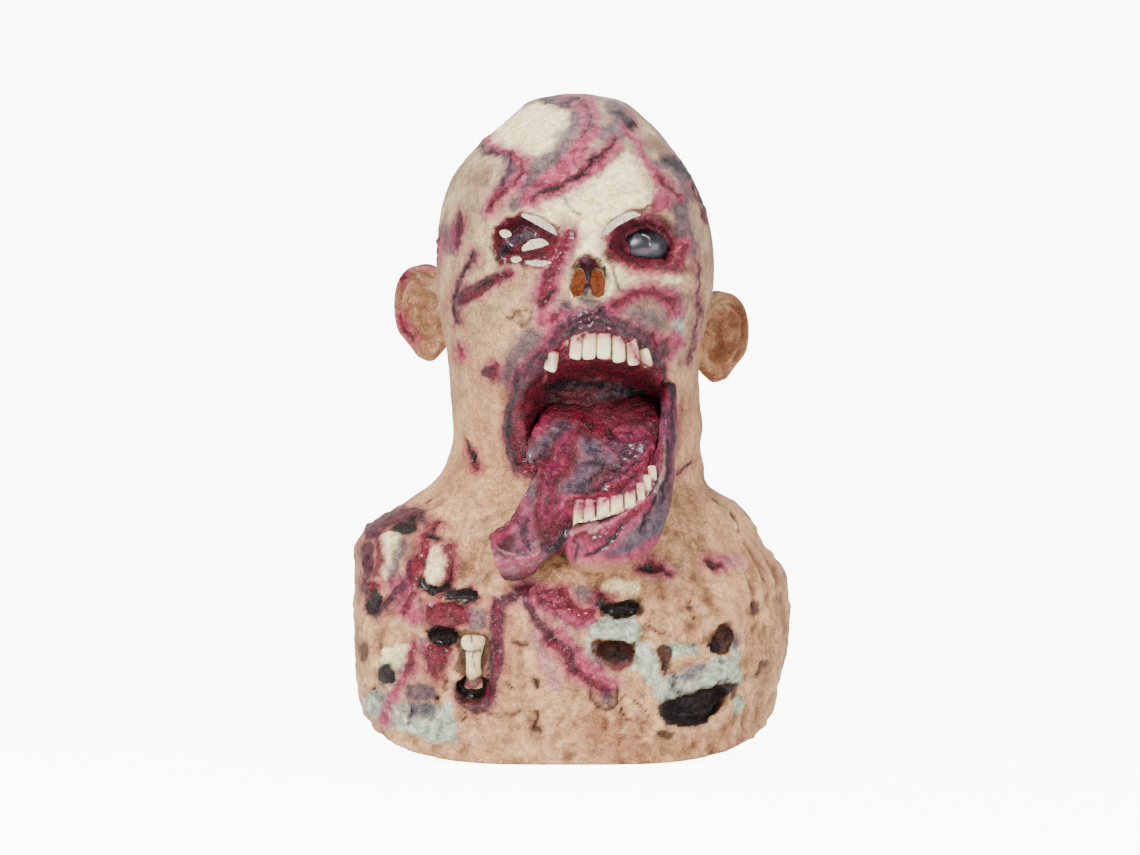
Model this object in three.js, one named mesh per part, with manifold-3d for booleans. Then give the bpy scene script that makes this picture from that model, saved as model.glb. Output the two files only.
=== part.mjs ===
// A full-head latex horror mask: a rotting ghoul's head, neck and chest in one hollow cast skin, open at the
// bottom, with a dead eye, teeth, a dislocated jaw and a torn tongue glued on. It stands on its chest rim.
// Millimetres. +Z is up, the face looks along -Y, and left and right are as seen from the front.
import * as THREE from "three";
import { mergeVertices } from "three/addons/utils/BufferGeometryUtils.js";
import Module from "manifold-3d";

const wasm = await Module();
wasm.setup();

// Driving sizes
const MASK_HEIGHT = 455; // chest rim to crown
const HEAD_WIDTH = 190; // across the skin above the ears
const HEAD_DEPTH = 226; // brow to the back of the head
const NECK_WIDTH = 170;
const NECK_DEPTH = 160;
const CHEST_WIDTH = 297;
const CHEST_DEPTH = 208;
const WALL = 2.6; // the cast latex skin
const RIM_ARCH = 48; // how far the rim would rise at each side, if it came to a point there
const RIM_LEVEL = THREE.MathUtils.degToRad(16.3); // how far round from the front and the back it is level
const RIM_ROUND = THREE.MathUtils.degToRad(8); // how far round the top of its arch is rounded
const GLUE_GAP = 0.35; // between a glued piece and what it sits on
const EAR_HEIGHT = 68;
const EAR_WIDTH = 45;
const EAR_THICKNESS = 6;
const EAR_SPLAY = THREE.MathUtils.degToRad(40); // how far the ears turn back from sideways
const EAR_PROUD = 0.3; // from the head to the middle of the ear, as a share of EAR_WIDTH
const EYEBALL_RADIUS = 16;
const EYEBALL_SHAPE = [1.15, 0.75, 0.9]; // its reaches along X, Y and Z, as shares of the radius
const EYEBALL_SHIFT = { deep: 0.1, down: 0.25 }; // from the middle of the socket, as shares of the radius
const TOOTH_WIDTH = 10.4;
const TOOTH_HEIGHT = 20;
const LOWER_TOOTH_HEIGHT = 16;
const LOWER_TOOTH_SPACE = 0.5; // between neighbours in the lower row
const TOOTH_DEPTH = 0.75; // a tooth from front to back, as a share of its width
const NECK_SUNK = 0.15; // how deep an upper tooth's neck sits, as a share of its width
const UPPER_GUM = 0.42; // the gum's radius, as a share of TOOTH_WIDTH
const LOWER_GUM = 0.33; // and of LOWER_TOOTH_HEIGHT
const JAW_HEIGHT = 34; // gum to the underside of the chin
const JAW_THICKNESS = 19;
const TONGUE_WIDTH = 90;
const TONGUE_THICKNESS = 13;
const TONGUE_GROOVE = 0.35; // along its middle, as a share of its half thickness
const TONGUE_CURL = 0.7; // how far its edges curl forward, as a share of its half thickness
const BONE_RADIUS = 7;
const BONE_LENGTH = 36;

// Cross-sections of the skin, from the crown down. at is a share of MASK_HEIGHT. left and right are the
// reaches to each side as shares of the zone's width, and front and back those of its depth. square bends
// the outline from an ellipse, at 2, towards a box.
const HEAD_ZONE = {
  width: HEAD_WIDTH,
  depth: HEAD_DEPTH,
  rows: [
    { at: 0.9985, left: 0.058, right: 0.079, front: 0.013, back: 0.142, square: 2 },
    { at: 0.99, left: 0.147, right: 0.172, front: -0.071, back: 0.23, square: 2 },
    { at: 0.9745, left: 0.2, right: 0.233, front: -0.159, back: 0.31, square: 2 },
    { at: 0.9447, left: 0.283, right: 0.308, front: -0.261, back: 0.398, square: 2.05 },
    { at: 0.915, left: 0.355, right: 0.365, front: -0.323, back: 0.456, square: 2.1 },
    { at: 0.87, left: 0.438, right: 0.437, front: -0.381, back: 0.509, square: 2.15 },
    { at: 0.81, left: 0.481, right: 0.494, front: -0.425, back: 0.544, square: 2.2 },
    { at: 0.75, left: 0.491, right: 0.515, front: -0.442, back: 0.558, square: 2.2 },
    { at: 0.69, left: 0.484, right: 0.508, front: -0.451, back: 0.549, square: 2.2 },
    { at: 0.646, left: 0.473, right: 0.483, front: -0.449, back: 0.522, square: 2.2 },
    { at: 0.601, left: 0.452, right: 0.46, front: -0.43, back: 0.478, square: 2.15 },
  ],
};
const NECK_ZONE = {
  width: NECK_WIDTH,
  depth: NECK_DEPTH,
  rows: [
    { at: 0.541, left: 0.492, right: 0.516, front: -0.525, back: 0.606, square: 2.1 },
    { at: 0.496, left: 0.484, right: 0.528, front: -0.475, back: 0.569, square: 2.05 },
    { at: 0.466, left: 0.488, right: 0.52, front: -0.45, back: 0.55, square: 2 },
    { at: 0.436, left: 0.515, right: 0.534, front: -0.438, back: 0.55, square: 2 },
    { at: 0.407, left: 0.575, right: 0.55, front: -0.438, back: 0.563, square: 1.95 },
  ],
};
const CHEST_ZONE = {
  width: CHEST_WIDTH,
  depth: CHEST_DEPTH,
  rows: [
    { at: 0.377, left: 0.398, right: 0.386, front: -0.351, back: 0.452, square: 1.9 },
    { at: 0.347, left: 0.47, right: 0.424, front: -0.375, back: 0.471, square: 1.9 },
    { at: 0.317, left: 0.505, right: 0.445, front: -0.399, back: 0.49, square: 2 },
    { at: 0.28, left: 0.508, right: 0.49, front: -0.428, back: 0.51, square: 2.1 },
    { at: 0.25, left: 0.506, right: 0.5, front: -0.447, back: 0.515, square: 2.2 },
    { at: 0.167, left: 0.505, right: 0.5, front: -0.476, back: 0.524, square: 2.3 },
    { at: 0.1, left: 0.495, right: 0.475, front: -0.474, back: 0.519, square: 2.3 },
    { at: 0, left: 0.465, right: 0.45, front: -0.462, back: 0.505, square: 2.3 },
  ],
};

// Forms raised from the front of the skin or sunk into it. x is a share of HEAD_WIDTH, z of MASK_HEIGHT, the
// half sizes wide and high are shares of HEAD_WIDTH, turn is in degrees, and out is a share of HEAD_DEPTH,
// below 0 where the form is sunk. flat is the share of the form's radius that is level before it falls away.
const FACE_FORMS = [
  { name: "left brow", x: -0.11, z: 0.822, wide: 0.19, high: 0.06, turn: -14, out: 0.026, flat: 0.1 },
  { name: "right brow", x: 0.26, z: 0.825, wide: 0.19, high: 0.065, turn: 12, out: 0.028, flat: 0.1 },
  { name: "left socket", x: -0.17, z: 0.772, wide: 0.125, high: 0.085, turn: 0, out: -0.07, flat: 0.45 },
  { name: "right socket", x: 0.262, z: 0.768, wide: 0.155, high: 0.115, turn: 8, out: -0.078, flat: 0.5 },
  { name: "nose bone", x: 0.062, z: 0.757, wide: 0.085, high: 0.16, turn: 0, out: 0.032, flat: 0.25 },
  { name: "nose rim", x: 0.062, z: 0.712, wide: 0.14, high: 0.13, turn: 0, out: 0.03, flat: 0.35 },
  { name: "nose hollow", x: 0.062, z: 0.708, wide: 0.08, high: 0.085, turn: 0, out: -0.075, flat: 0.45 },
  { name: "upper jaw", x: 0.13, z: 0.632, wide: 0.25, high: 0.16, turn: 0, out: 0.045, flat: 0.2 },
  { name: "right cheekbone", x: 0.34, z: 0.708, wide: 0.17, high: 0.06, turn: 0, out: 0.03, flat: 0.2 },
  { name: "left cheekbone", x: -0.31, z: 0.7, wide: 0.15, high: 0.09, turn: 20, out: 0.022, flat: 0.1 },
  { name: "right cheek", x: 0.3, z: 0.635, wide: 0.16, high: 0.13, turn: 0, out: 0.02, flat: 0.1 },
  { name: "mouth", x: 0.085, z: 0.512, wide: 0.29, high: 0.21, turn: 0, out: -0.11, flat: 0.62 },
  { name: "left torn lip", x: -0.17, z: 0.53, wide: 0.05, high: 0.2, turn: 8, out: 0.03, flat: 0.1 },
  { name: "right torn lip", x: 0.35, z: 0.53, wide: 0.045, high: 0.2, turn: -3, out: 0.026, flat: 0.1 },
];
const CHEST_FORMS = [
  { name: "shoulder gash", x: -0.6, z: 0.348, wide: 0.075, high: 0.04, turn: 20, out: -0.022, flat: 0.3 },
  { name: "shoulder rib", x: -0.62, z: 0.29, wide: 0.05, high: 0.13, turn: 6, out: 0.018, flat: 0.2 },
  { name: "upper rib", x: -0.465, z: 0.282, wide: 0.05, high: 0.1, turn: 0, out: 0.02, flat: 0.2 },
  { name: "shoulder pit", x: -0.66, z: 0.227, wide: 0.06, high: 0.06, turn: 0, out: -0.026, flat: 0.3 },
  { name: "pit under rib", x: -0.46, z: 0.252, wide: 0.06, high: 0.035, turn: 0, out: -0.026, flat: 0.3 },
  { name: "torn pocket", x: -0.385, z: 0.238, wide: 0.08, high: 0.04, turn: 10, out: -0.026, flat: 0.4 },
  { name: "raw flap", x: -0.45, z: 0.213, wide: 0.1, high: 0.05, turn: 0, out: 0.024, flat: 0.3 },
  { name: "dark gap", x: -0.445, z: 0.182, wide: 0.085, high: 0.04, turn: 0, out: -0.034, flat: 0.4 },
  { name: "bone bed", x: -0.345, z: 0.15, wide: 0.06, high: 0.11, turn: 0, out: -0.02, flat: 0.4 },
  { name: "bone hole", x: -0.345, z: 0.107, wide: 0.075, high: 0.055, turn: 0, out: -0.04, flat: 0.5 },
  { name: "side pit", x: -0.625, z: 0.14, wide: 0.06, high: 0.075, turn: -10, out: -0.026, flat: 0.3 },
  { name: "middle gash", x: 0.175, z: 0.223, wide: 0.09, high: 0.038, turn: 0, out: -0.034, flat: 0.4 },
  { name: "middle rib", x: 0.15, z: 0.192, wide: 0.12, high: 0.04, turn: 0, out: 0.02, flat: 0.3 },
  { name: "middle window", x: 0.15, z: 0.156, wide: 0.09, high: 0.052, turn: 0, out: -0.04, flat: 0.55 },
  { name: "teardrop pit", x: 0.328, z: 0.153, wide: 0.035, high: 0.05, turn: 10, out: -0.02, flat: 0.4 },
  { name: "shoulder hole", x: 0.515, z: 0.18, wide: 0.06, high: 0.06, turn: 30, out: -0.035, flat: 0.4 },
  { name: "long rib", x: 0.46, z: 0.125, wide: 0.17, high: 0.045, turn: 16, out: 0.022, flat: 0.4 },
  { name: "long window", x: 0.44, z: 0.085, wide: 0.13, high: 0.065, turn: 12, out: -0.05, flat: 0.6 },
  { name: "fold", x: 0.12, z: 0.098, wide: 0.05, high: 0.05, turn: 0, out: -0.014, flat: 0.2 },
];

// Holes cut through the skin: sight slits in the sockets, and the nostrils. Places and half sizes are shares,
// as above, and bend lifts the middle of a slit into a crescent, by a share of its half width.
const HOLES = [
  { x: -0.098, z: 0.799, wide: 0.07, high: 0.017, turn: -26, bend: 0.18 },
  { x: -0.236, z: 0.779, wide: 0.022, high: 0.015, turn: -12, bend: 0 },
  { x: -0.13, z: 0.759, wide: 0.048, high: 0.017, turn: 12, bend: 0.22 },
  { x: -0.197, z: 0.74, wide: 0.02, high: 0.014, turn: 0, bend: 0 },
  { x: -0.118, z: 0.736, wide: 0.046, high: 0.012, turn: -2, bend: -0.12 },
  { x: 0.172, z: 0.808, wide: 0.068, high: 0.018, turn: 27, bend: 0.24 },
  { x: 0.018, z: 0.7, wide: 0.025, high: 0.052, turn: -6, bend: 0 },
  { x: 0.104, z: 0.7, wide: 0.026, high: 0.052, turn: 6, bend: 0 },
];

// The jaw's and the tongue's centre lines. x is a share of HEAD_WIDTH, z of MASK_HEIGHT, and proud is how far
// the line stands in front of the bare skin at that height, a share of HEAD_DEPTH. The other columns are
// shares of the piece's own sizes, and web is how far the jaw's back side reaches to the neck.
const JAW_LINE = [
  { x: 0.345, z: 0.56, proud: -0.12, high: 0.34, thick: 0.5, web: 0 },
  { x: 0.342, z: 0.51, proud: -0.035, high: 0.42, thick: 0.55, web: 0.6 },
  { x: 0.328, z: 0.455, proud: 0.045, high: 0.55, thick: 0.65, web: 1.2 },
  { x: 0.302, z: 0.395, proud: 0.105, high: 0.78, thick: 0.85, web: 1.5 },
  { x: 0.245, z: 0.35, proud: 0.15, high: 0.95, thick: 1, web: 1.6 },
  { x: 0.15, z: 0.328, proud: 0.168, high: 1, thick: 1, web: 1.6 },
  { x: 0.055, z: 0.319, proud: 0.15, high: 0.98, thick: 1, web: 1.4 },
  { x: -0.005, z: 0.322, proud: 0.105, high: 0.85, thick: 0.9, web: 1 },
];
const TONGUE_LINE = [
  { x: 0.1, z: 0.532, proud: -0.15, wide: 0.78, thick: 0.9, turn: 0 },
  { x: 0.098, z: 0.503, proud: -0.08, wide: 0.9, thick: 1, turn: 0 },
  { x: 0.088, z: 0.47, proud: -0.01, wide: 0.98, thick: 1, turn: -4 },
  { x: 0.066, z: 0.432, proud: 0.045, wide: 0.98, thick: 0.95, turn: -10 },
  { x: 0.02, z: 0.39, proud: 0.08, wide: 0.82, thick: 0.85, turn: -22 },
  { x: -0.055, z: 0.353, proud: 0.09, wide: 0.56, thick: 0.75, turn: -34 },
  { x: -0.135, z: 0.328, proud: 0.075, wide: 0.42, thick: 0.65, turn: -42 },
  { x: -0.205, z: 0.311, proud: 0.058, wide: 0.42, thick: 0.5, turn: -46 },
  { x: -0.25, z: 0.302, proud: 0.05, wide: 0.36, thick: 0.34, turn: -48 },
  { x: -0.27, z: 0.299, proud: 0.047, wide: 0.22, thick: 0.2, turn: -48 },
];

// A tooth's rings, from the root that is in the gum to the biting edge, and the bone stub's, from below: at is
// a share of its length, and size of its width.
const TOOTH_RINGS = [
  { at: -0.3, size: 0.7 },
  { at: 0.15, size: 0.92 },
  { at: 0.8, size: 1 },
  { at: 1, size: 0.66 },
];
const BONE_RINGS = [
  { at: -0.5, size: 0.85 },
  { at: -0.3, size: 0.8 },
  { at: 0.1, size: 0.78 },
  { at: 0.32, size: 1 },
  { at: 0.46, size: 0.95 },
  { at: 0.5, size: 0.5 },
];

// Teeth, from left to right. x and z place the neck of the tooth, as above. wide and high are shares of the
// row's tooth size, and lean is in degrees.
const UPPER_TEETH = [
  { x: -0.062, z: 0.606, wide: 0.95, high: 0.72, lean: 14 },
  { x: 0.036, z: 0.63, wide: 0.9, high: 0.86, lean: 4 },
  { x: 0.085, z: 0.636, wide: 1, high: 1, lean: 2 },
  { x: 0.137, z: 0.636, wide: 1.05, high: 1, lean: 0 },
  { x: 0.187, z: 0.631, wide: 0.9, high: 0.98, lean: -4 },
  { x: 0.233, z: 0.622, wide: 0.85, high: 0.9, lean: -12 },
  { x: 0.27, z: 0.607, wide: 0.7, high: 0.7, lean: -20 },
];
const LOWER_TEETH_COUNT = 9;
const LOWER_ROW = { start: 0.96, end: 0.36, last: 0.72, lean: -14 };

const EARS = [
  { side: -1, z: 0.672, back: 0.02, height: 1, roll: 7 },
  { side: 1, z: 0.634, back: 0.03, height: 0.94, roll: -4 },
];
// The ear from the middle of its bowl out to the rim and round to the back: reach is a share of the ear's
// outline, and face of EAR_THICKNESS.
const EAR_RINGS = [
  { reach: 0.18, face: -0.3 },
  { reach: 0.4, face: -0.15 },
  { reach: 0.56, face: 0.9 },
  { reach: 0.74, face: 0.45 },
  { reach: 0.88, face: 1.1 },
  { reach: 1, face: 0.7 },
  { reach: 0.98, face: -0.2 },
  { reach: 0.7, face: -0.9 },
  { reach: 0.3, face: -1.5 },
];

// How the skin's grid is spaced: rows by share of the height, columns by angle from the front, in degrees.
const ROW_BANDS = [
  { to: 0.3, rows: 12 },
  { to: 0.56, rows: 9 },
  { to: 0.86, rows: 17 },
  { to: 0.974, rows: 4 },
  { to: 0.9985, rows: 3 },
];
const COLUMN_BANDS = [
  { to: 70, columns: 14 },
  { to: 180, columns: 7 },
];
// The forms fade away round the sides, by the cosine of the angle from the front.
const FORMS_FADE = { end: 0.15, start: 0.6 };
const FRONT_EDGE = 0.98; // the share of the half width where the front is taken to end
const RIM_UNDERSIDE = 3; // how far in the rim's underside stays level, in walls

const BONE_SIDES = 10;
const TOOTH_SIDES = 6;
const JAW_SIDES = 12;
const TONGUE_SIDES = 12;
const EAR_SIDES = 16;
const SLIT_SIDES = 14;
const EYEBALL_SIDES = 16;
const GUM_STEPS = 1.5; // for each tooth
const FAR = 60; // how far a cutter reaches past what it cuts

const SKIN_ROWS = [HEAD_ZONE, NECK_ZONE, CHEST_ZONE]
  .flatMap(({ width, depth, rows }) =>
    rows.map((row) => ({
      z: row.at * MASK_HEIGHT,
      left: -row.left * width,
      right: row.right * width,
      front: row.front * depth,
      back: row.back * depth,
      square: row.square,
    })),
  )
  .sort((a, b) => a.z - b.z);

function smooth(share) {
  const t = THREE.MathUtils.clamp(share, 0, 1);
  return t * t * (3 - 2 * t);
}

// The value of a column at z, on a smooth curve through the rows.
function between(rows, key, column, z) {
  const last = rows.length - 1;
  let i = 0;
  while (i < last - 1 && z > rows[i + 1][key]) i++;
  const slope = (k) => {
    const low = rows[Math.max(k - 1, 0)];
    const high = rows[Math.min(k + 1, last)];
    return (high[column] - low[column]) / (high[key] - low[key]);
  };
  const span = rows[i + 1][key] - rows[i][key];
  const t = THREE.MathUtils.clamp((z - rows[i][key]) / span, 0, 1);
  const rise = rows[i + 1][column] - rows[i][column];
  const bend = (1 - t) * (slope(i) * span - rise) - t * (slope(i + 1) * span - rise);
  return rows[i][column] + rise * t + t * (1 - t) * bend;
}

function section(z) {
  const row = {};
  for (const column of ["left", "right", "front", "back", "square"])
    row[column] = between(SKIN_ROWS, "z", column, z);
  return row;
}

// How far the forms lift the skin at a place seen from the front.
function relief(x, z) {
  let out = 0;
  for (const form of [...FACE_FORMS, ...CHEST_FORMS]) {
    const turn = THREE.MathUtils.degToRad(form.turn);
    const across = x - form.x * HEAD_WIDTH;
    const up = z - form.z * MASK_HEIGHT;
    const u = (across * Math.cos(turn) + up * Math.sin(turn)) / (form.wide * HEAD_WIDTH);
    const v = (up * Math.cos(turn) - across * Math.sin(turn)) / (form.high * HEAD_WIDTH);
    const reach = Math.hypot(u, v);
    if (reach < 1) out += form.out * HEAD_DEPTH * smooth((1 - reach) / (1 - form.flat));
  }
  return out;
}

// A point of the skin at an angle from the front and a height.
function skinPoint(angle, z) {
  const { left, right, front, back, square } = section(z);
  const across = Math.sin(angle);
  const ahead = Math.cos(angle);
  const halfWidth = (right - left) / 2;
  const halfDepth = (back - front) / 2;
  const radius =
    (Math.abs(across / halfWidth) ** square + Math.abs(ahead / halfDepth) ** square) ** (-1 / square);
  const x = (left + right) / 2 + radius * across;
  const y = (front + back) / 2 - radius * ahead;
  const fade = smooth((ahead - FORMS_FADE.end) / (FORMS_FADE.start - FORMS_FADE.end));
  return new THREE.Vector3(x, y - relief(x, z) * fade, z);
}

// The skin's front face at a place seen from the front.
function skinFront(x, z) {
  const { left, right, front, back, square } = section(z);
  const across = Math.min(Math.abs((x - (left + right) / 2) / ((right - left) / 2)), FRONT_EDGE);
  const reach = ((back - front) / 2) * (1 - across ** square) ** (1 / square);
  return (front + back) / 2 - reach - relief(x, z);
}

function frontLine(z) {
  return between(SKIN_ROWS, "z", "front", z);
}

function gridAngles() {
  const half = [];
  let from = 0;
  for (const { to, columns } of COLUMN_BANDS) {
    for (let i = 0; i < columns; i++) half.push(from + ((to - from) * i) / columns);
    from = to;
  }
  const mirrored = half.slice(1).map((angle) => 360 - angle);
  return [...half, 180, ...mirrored.reverse()].map(THREE.MathUtils.degToRad);
}

function gridLevels() {
  const levels = [0];
  let from = 0;
  for (const { to, rows } of ROW_BANDS) {
    for (let i = 1; i <= rows; i++) levels.push(from + ((to - from) * i) / rows);
    from = to;
  }
  return levels;
}

// The rim is level in front and behind, and rises at each side.
function rimHeight(angle) {
  const fromSide = Math.hypot(Math.acos(Math.abs(Math.sin(angle))), RIM_ROUND);
  return RIM_ARCH * Math.max(1 - fromSide / (Math.PI / 2 - RIM_LEVEL), 0) ** 3;
}

const ANGLES = gridAngles();
const FRONT_ANGLE = THREE.MathUtils.degToRad(COLUMN_BANDS[0].to);
const LEVELS = gridLevels();
const SKIN_GRID = LEVELS.map((level) =>
  ANGLES.map((angle) => {
    const rim = rimHeight(angle);
    return skinPoint(angle, rim + (MASK_HEIGHT - rim) * level);
  }),
);
const SKIN_NORMALS = SKIN_GRID.map((ring, i) =>
  ring.map((_, j) => {
    const below = SKIN_GRID[Math.max(i - 1, 0)][j];
    const above = SKIN_GRID[Math.min(i + 1, LEVELS.length - 1)][j];
    const before = ring[(j + ANGLES.length - 1) % ANGLES.length];
    const after = ring[(j + 1) % ANGLES.length];
    const around = after.clone().sub(before);
    const normal = around.cross(above.clone().sub(below)).normalize();
    return i === 0 ? normal.setZ(0).normalize() : normal;
  }),
);

// The skin's surface moved out by grow, or in where grow is below 0.
function skinRings(grow) {
  const moved = (point, i, j) => point.clone().addScaledVector(SKIN_NORMALS[i][j], grow);
  return SKIN_GRID.map((ring, i) => ring.map((point, j) => moved(point, i, j)));
}

function middleOf(ring) {
  return ring.reduce((sum, point) => sum.add(point), new THREE.Vector3()).divideScalar(ring.length);
}

function crown(grow) {
  return [middleOf(SKIN_GRID[LEVELS.length - 1]).setZ(MASK_HEIGHT + grow)];
}

// A closed solid through rings of points. A ring of one point closes an end, and any other end is closed to
// its middle. Rings run counter-clockwise seen from the last one.
function loftSolid(rings) {
  const closed = rings.map((ring) => [...ring]);
  if (closed[0].length > 1) closed.unshift([middleOf(closed[0])]);
  if (closed.at(-1).length > 1) closed.push([middleOf(closed.at(-1))]);
  const points = closed.flat();
  const index = [];
  let start = 0;
  for (let r = 0; r < closed.length - 1; r++) {
    const low = closed[r].length;
    const high = closed[r + 1].length;
    const next = start + low;
    for (let j = 0; j < Math.max(low, high); j++) {
      const k = (j + 1) % Math.max(low, high);
      const [a, b] = low === 1 ? [start, start] : [start + j, start + k];
      const [c, d] = high === 1 ? [next, next] : [next + k, next + j];
      if (low > 1) index.push(a, b, c);
      if (high > 1) index.push(a, c, d);
    }
    start = next;
  }
  const geometry = new THREE.BufferGeometry().setFromPoints(points).setIndex(index);
  return manifoldOf(geometry);
}

function manifoldOf(geometry) {
  const bare = geometry.clone().deleteAttribute("normal").deleteAttribute("uv");
  const merged = mergeVertices(bare, 1e-4);
  return new wasm.Manifold(
    new wasm.Mesh({
      numProp: 3,
      vertProperties: new Float32Array(merged.attributes.position.array),
      triVerts: new Uint32Array(merged.index.array),
    }),
  );
}

function largest(solid) {
  return solid.decompose().reduce((best, body) => (body.volume() > best.volume() ? body : best));
}

function meshOf(name, solid, colour, roughness) {
  const { numProp, vertProperties, triVerts } = largest(solid).getMesh();
  const positions = new Float32Array((vertProperties.length / numProp) * 3);
  for (let i = 0; i < positions.length / 3; i++)
    positions.set(vertProperties.subarray(i * numProp, i * numProp + 3), i * 3);
  const geometry = new THREE.BufferGeometry()
    .setAttribute("position", new THREE.BufferAttribute(positions, 3))
    .setIndex(new THREE.BufferAttribute(triVerts, 1));
  geometry.computeVertexNormals();
  const mesh = new THREE.Mesh(
    geometry,
    new THREE.MeshStandardMaterial({ color: colour, roughness, metalness: 0 }),
  );
  mesh.name = name;
  return mesh;
}

// The outer form as a solid. Its underside is level with the rim for a wall's width and then rises inside.
function outerSolid(grow) {
  const rings = skinRings(grow);
  const rim = rings[0];
  const inset = RIM_UNDERSIDE * WALL + grow;
  const inside = rim.map((point, j) => point.clone().addScaledVector(SKIN_NORMALS[0][j], -inset));
  const lid = [new THREE.Vector3(0, 0, RIM_ARCH)];
  return loftSolid([lid, inside, ...rings, crown(grow)]);
}

function hollowSolid() {
  const kept = (j) => ANGLES[j] < FRONT_ANGLE || ANGLES[j] > 2 * Math.PI - FRONT_ANGLE || j % 2 === 0;
  const rings = skinRings(-WALL).map((ring) => ring.filter((_, j) => kept(j)));
  const under = rings[0].map((point) => point.clone().setZ(point.z - FAR));
  return loftSolid([under, ...rings, crown(-WALL)]);
}

function earSolid({ side, z, back, height, roll }) {
  const level = z * MASK_HEIGHT;
  const root = skinPoint((side * Math.PI) / 2, level);
  root.y += back * HEAD_DEPTH;
  const outward = new THREE.Vector3(side * Math.cos(EAR_SPLAY), Math.sin(EAR_SPLAY), 0);
  const up = new THREE.Vector3(0, 0, 1);
  const facing = outward.clone().cross(up).multiplyScalar(side);
  const tilt = THREE.MathUtils.degToRad(roll);
  outward.applyAxisAngle(facing, tilt);
  up.applyAxisAngle(facing, tilt);
  const centre = root.addScaledVector(outward, EAR_WIDTH * EAR_PROUD);
  const halfHeight = (EAR_HEIGHT * height) / 2;
  const outline = (reach, turn) => {
    const lift = Math.sin(turn);
    const narrow = 1 + 0.2 * lift - 0.12 * Math.cos(turn) * lift; // wider above, narrow at the lobe
    const across = (EAR_WIDTH / 2) * narrow * Math.cos(turn) * reach;
    return outward.clone().multiplyScalar(across).addScaledVector(up, halfHeight * lift * reach);
  };
  const rings = EAR_RINGS.map(({ reach, face }) =>
    Array.from({ length: EAR_SIDES }, (_, j) => {
      const turn = (-side * j * 2 * Math.PI) / EAR_SIDES;
      const open = smooth((0.5 - Math.cos(turn)) / 0.8); // the rim sinks into the head at the front
      const lift = face > 0 ? face * (1 - 0.5 * open) : face;
      return outline(reach, turn).add(centre).addScaledVector(facing, lift * EAR_THICKNESS);
    }),
  );
  return loftSolid(rings);
}

function crescent({ x, z, wide, high, turn, bend }) {
  const half = wide * HEAD_WIDTH;
  const shape = new THREE.Shape();
  for (let i = 0; i < SLIT_SIDES; i++) {
    const angle = (i / SLIT_SIDES) * 2 * Math.PI;
    const across = Math.cos(angle);
    const lift = bend * half * (1 - across * across);
    shape[i ? "lineTo" : "moveTo"](half * across, high * HEAD_WIDTH * Math.sin(angle) + lift);
  }
  const geometry = new THREE.ExtrudeGeometry(shape, { depth: FAR, bevelEnabled: false });
  geometry.rotateZ(THREE.MathUtils.degToRad(turn));
  geometry.rotateX(Math.PI / 2);
  geometry.translate(x * HEAD_WIDTH, skinFront(x * HEAD_WIDTH, z * MASK_HEIGHT) + FAR / 2, z * MASK_HEIGHT);
  return manifoldOf(geometry);
}

// The points of a centre line, with its direction and a level cross direction at each.
function sweepStations(line) {
  const points = line.map(
    ({ x, z, proud }) =>
      new THREE.Vector3(x * HEAD_WIDTH, frontLine(z * MASK_HEIGHT) - proud * HEAD_DEPTH, z * MASK_HEIGHT),
  );
  return line.map((row, i) => {
    const low = points[Math.max(i - 1, 0)];
    const high = points[Math.min(i + 1, points.length - 1)];
    return { ...row, point: points[i], along: high.clone().sub(low).normalize() };
  });
}

function jawSolid(grow) {
  const last = JAW_LINE.length - 1;
  const rings = sweepStations(JAW_LINE).map(({ point, along, high, thick, web }, i) => {
    const upright = new THREE.Vector3(0, 0, 1).addScaledVector(along, -along.z).normalize();
    const inward = along.clone().cross(upright).normalize();
    if (i === 0) point.addScaledVector(along, -grow);
    if (i === last) point.addScaledVector(along, grow);
    const halfHigh = (JAW_HEIGHT * high) / 2 + grow;
    const halfThick = (JAW_THICKNESS * thick) / 2 + grow;
    return Array.from({ length: JAW_SIDES }, (_, j) => {
      const turn = (j / JAW_SIDES) * 2 * Math.PI;
      const offset = upright.clone().multiplyScalar(halfHigh * Math.sin(turn));
      offset.addScaledVector(inward, halfThick * Math.cos(turn));
      const behind = smooth((2 * offset.y) / halfHigh);
      offset.y += behind * web * JAW_HEIGHT;
      return offset.add(point);
    });
  });
  return loftSolid(rings.reverse());
}

function tongueSolid() {
  const rings = sweepStations(TONGUE_LINE).map(({ point, along, wide, thick, turn }) => {
    const lean = THREE.MathUtils.degToRad(turn);
    const across = new THREE.Vector3(Math.cos(lean), 0, Math.sin(lean));
    across.addScaledVector(along, -across.dot(along)).normalize();
    const facing = along.clone().cross(across);
    return Array.from({ length: TONGUE_SIDES }, (_, j) => {
      const angle = (j / TONGUE_SIDES) * 2 * Math.PI;
      const side = Math.cos(angle);
      const groove = TONGUE_GROOVE * (1 - side * side) ** 4 * Math.sign(Math.sin(angle));
      const lift = Math.sin(angle) - groove + TONGUE_CURL * side * side;
      return point
        .clone()
        .addScaledVector(across, (TONGUE_WIDTH / 2) * wide * side)
        .addScaledVector(facing, (TONGUE_THICKNESS / 2) * thick * lift);
    });
  });
  return loftSolid(rings);
}

// A tooth hangs down from its neck, or stands up where grows is 1.
function toothSolid(neck, width, height, lean, grows) {
  const thickness = width * TOOTH_DEPTH;
  const rings = TOOTH_RINGS.map(({ at, size }) =>
    Array.from({ length: TOOTH_SIDES }, (_, j) => {
      const turn = (j / TOOTH_SIDES) * 2 * Math.PI * grows;
      const point = new THREE.Vector3(
        (width / 2) * size * Math.cos(turn),
        (thickness / 2) * size * Math.sin(turn),
        height * at * grows,
      );
      return point.applyAxisAngle(new THREE.Vector3(0, 1, 0), THREE.MathUtils.degToRad(lean)).add(neck);
    }),
  );
  return loftSolid(rings);
}

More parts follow.
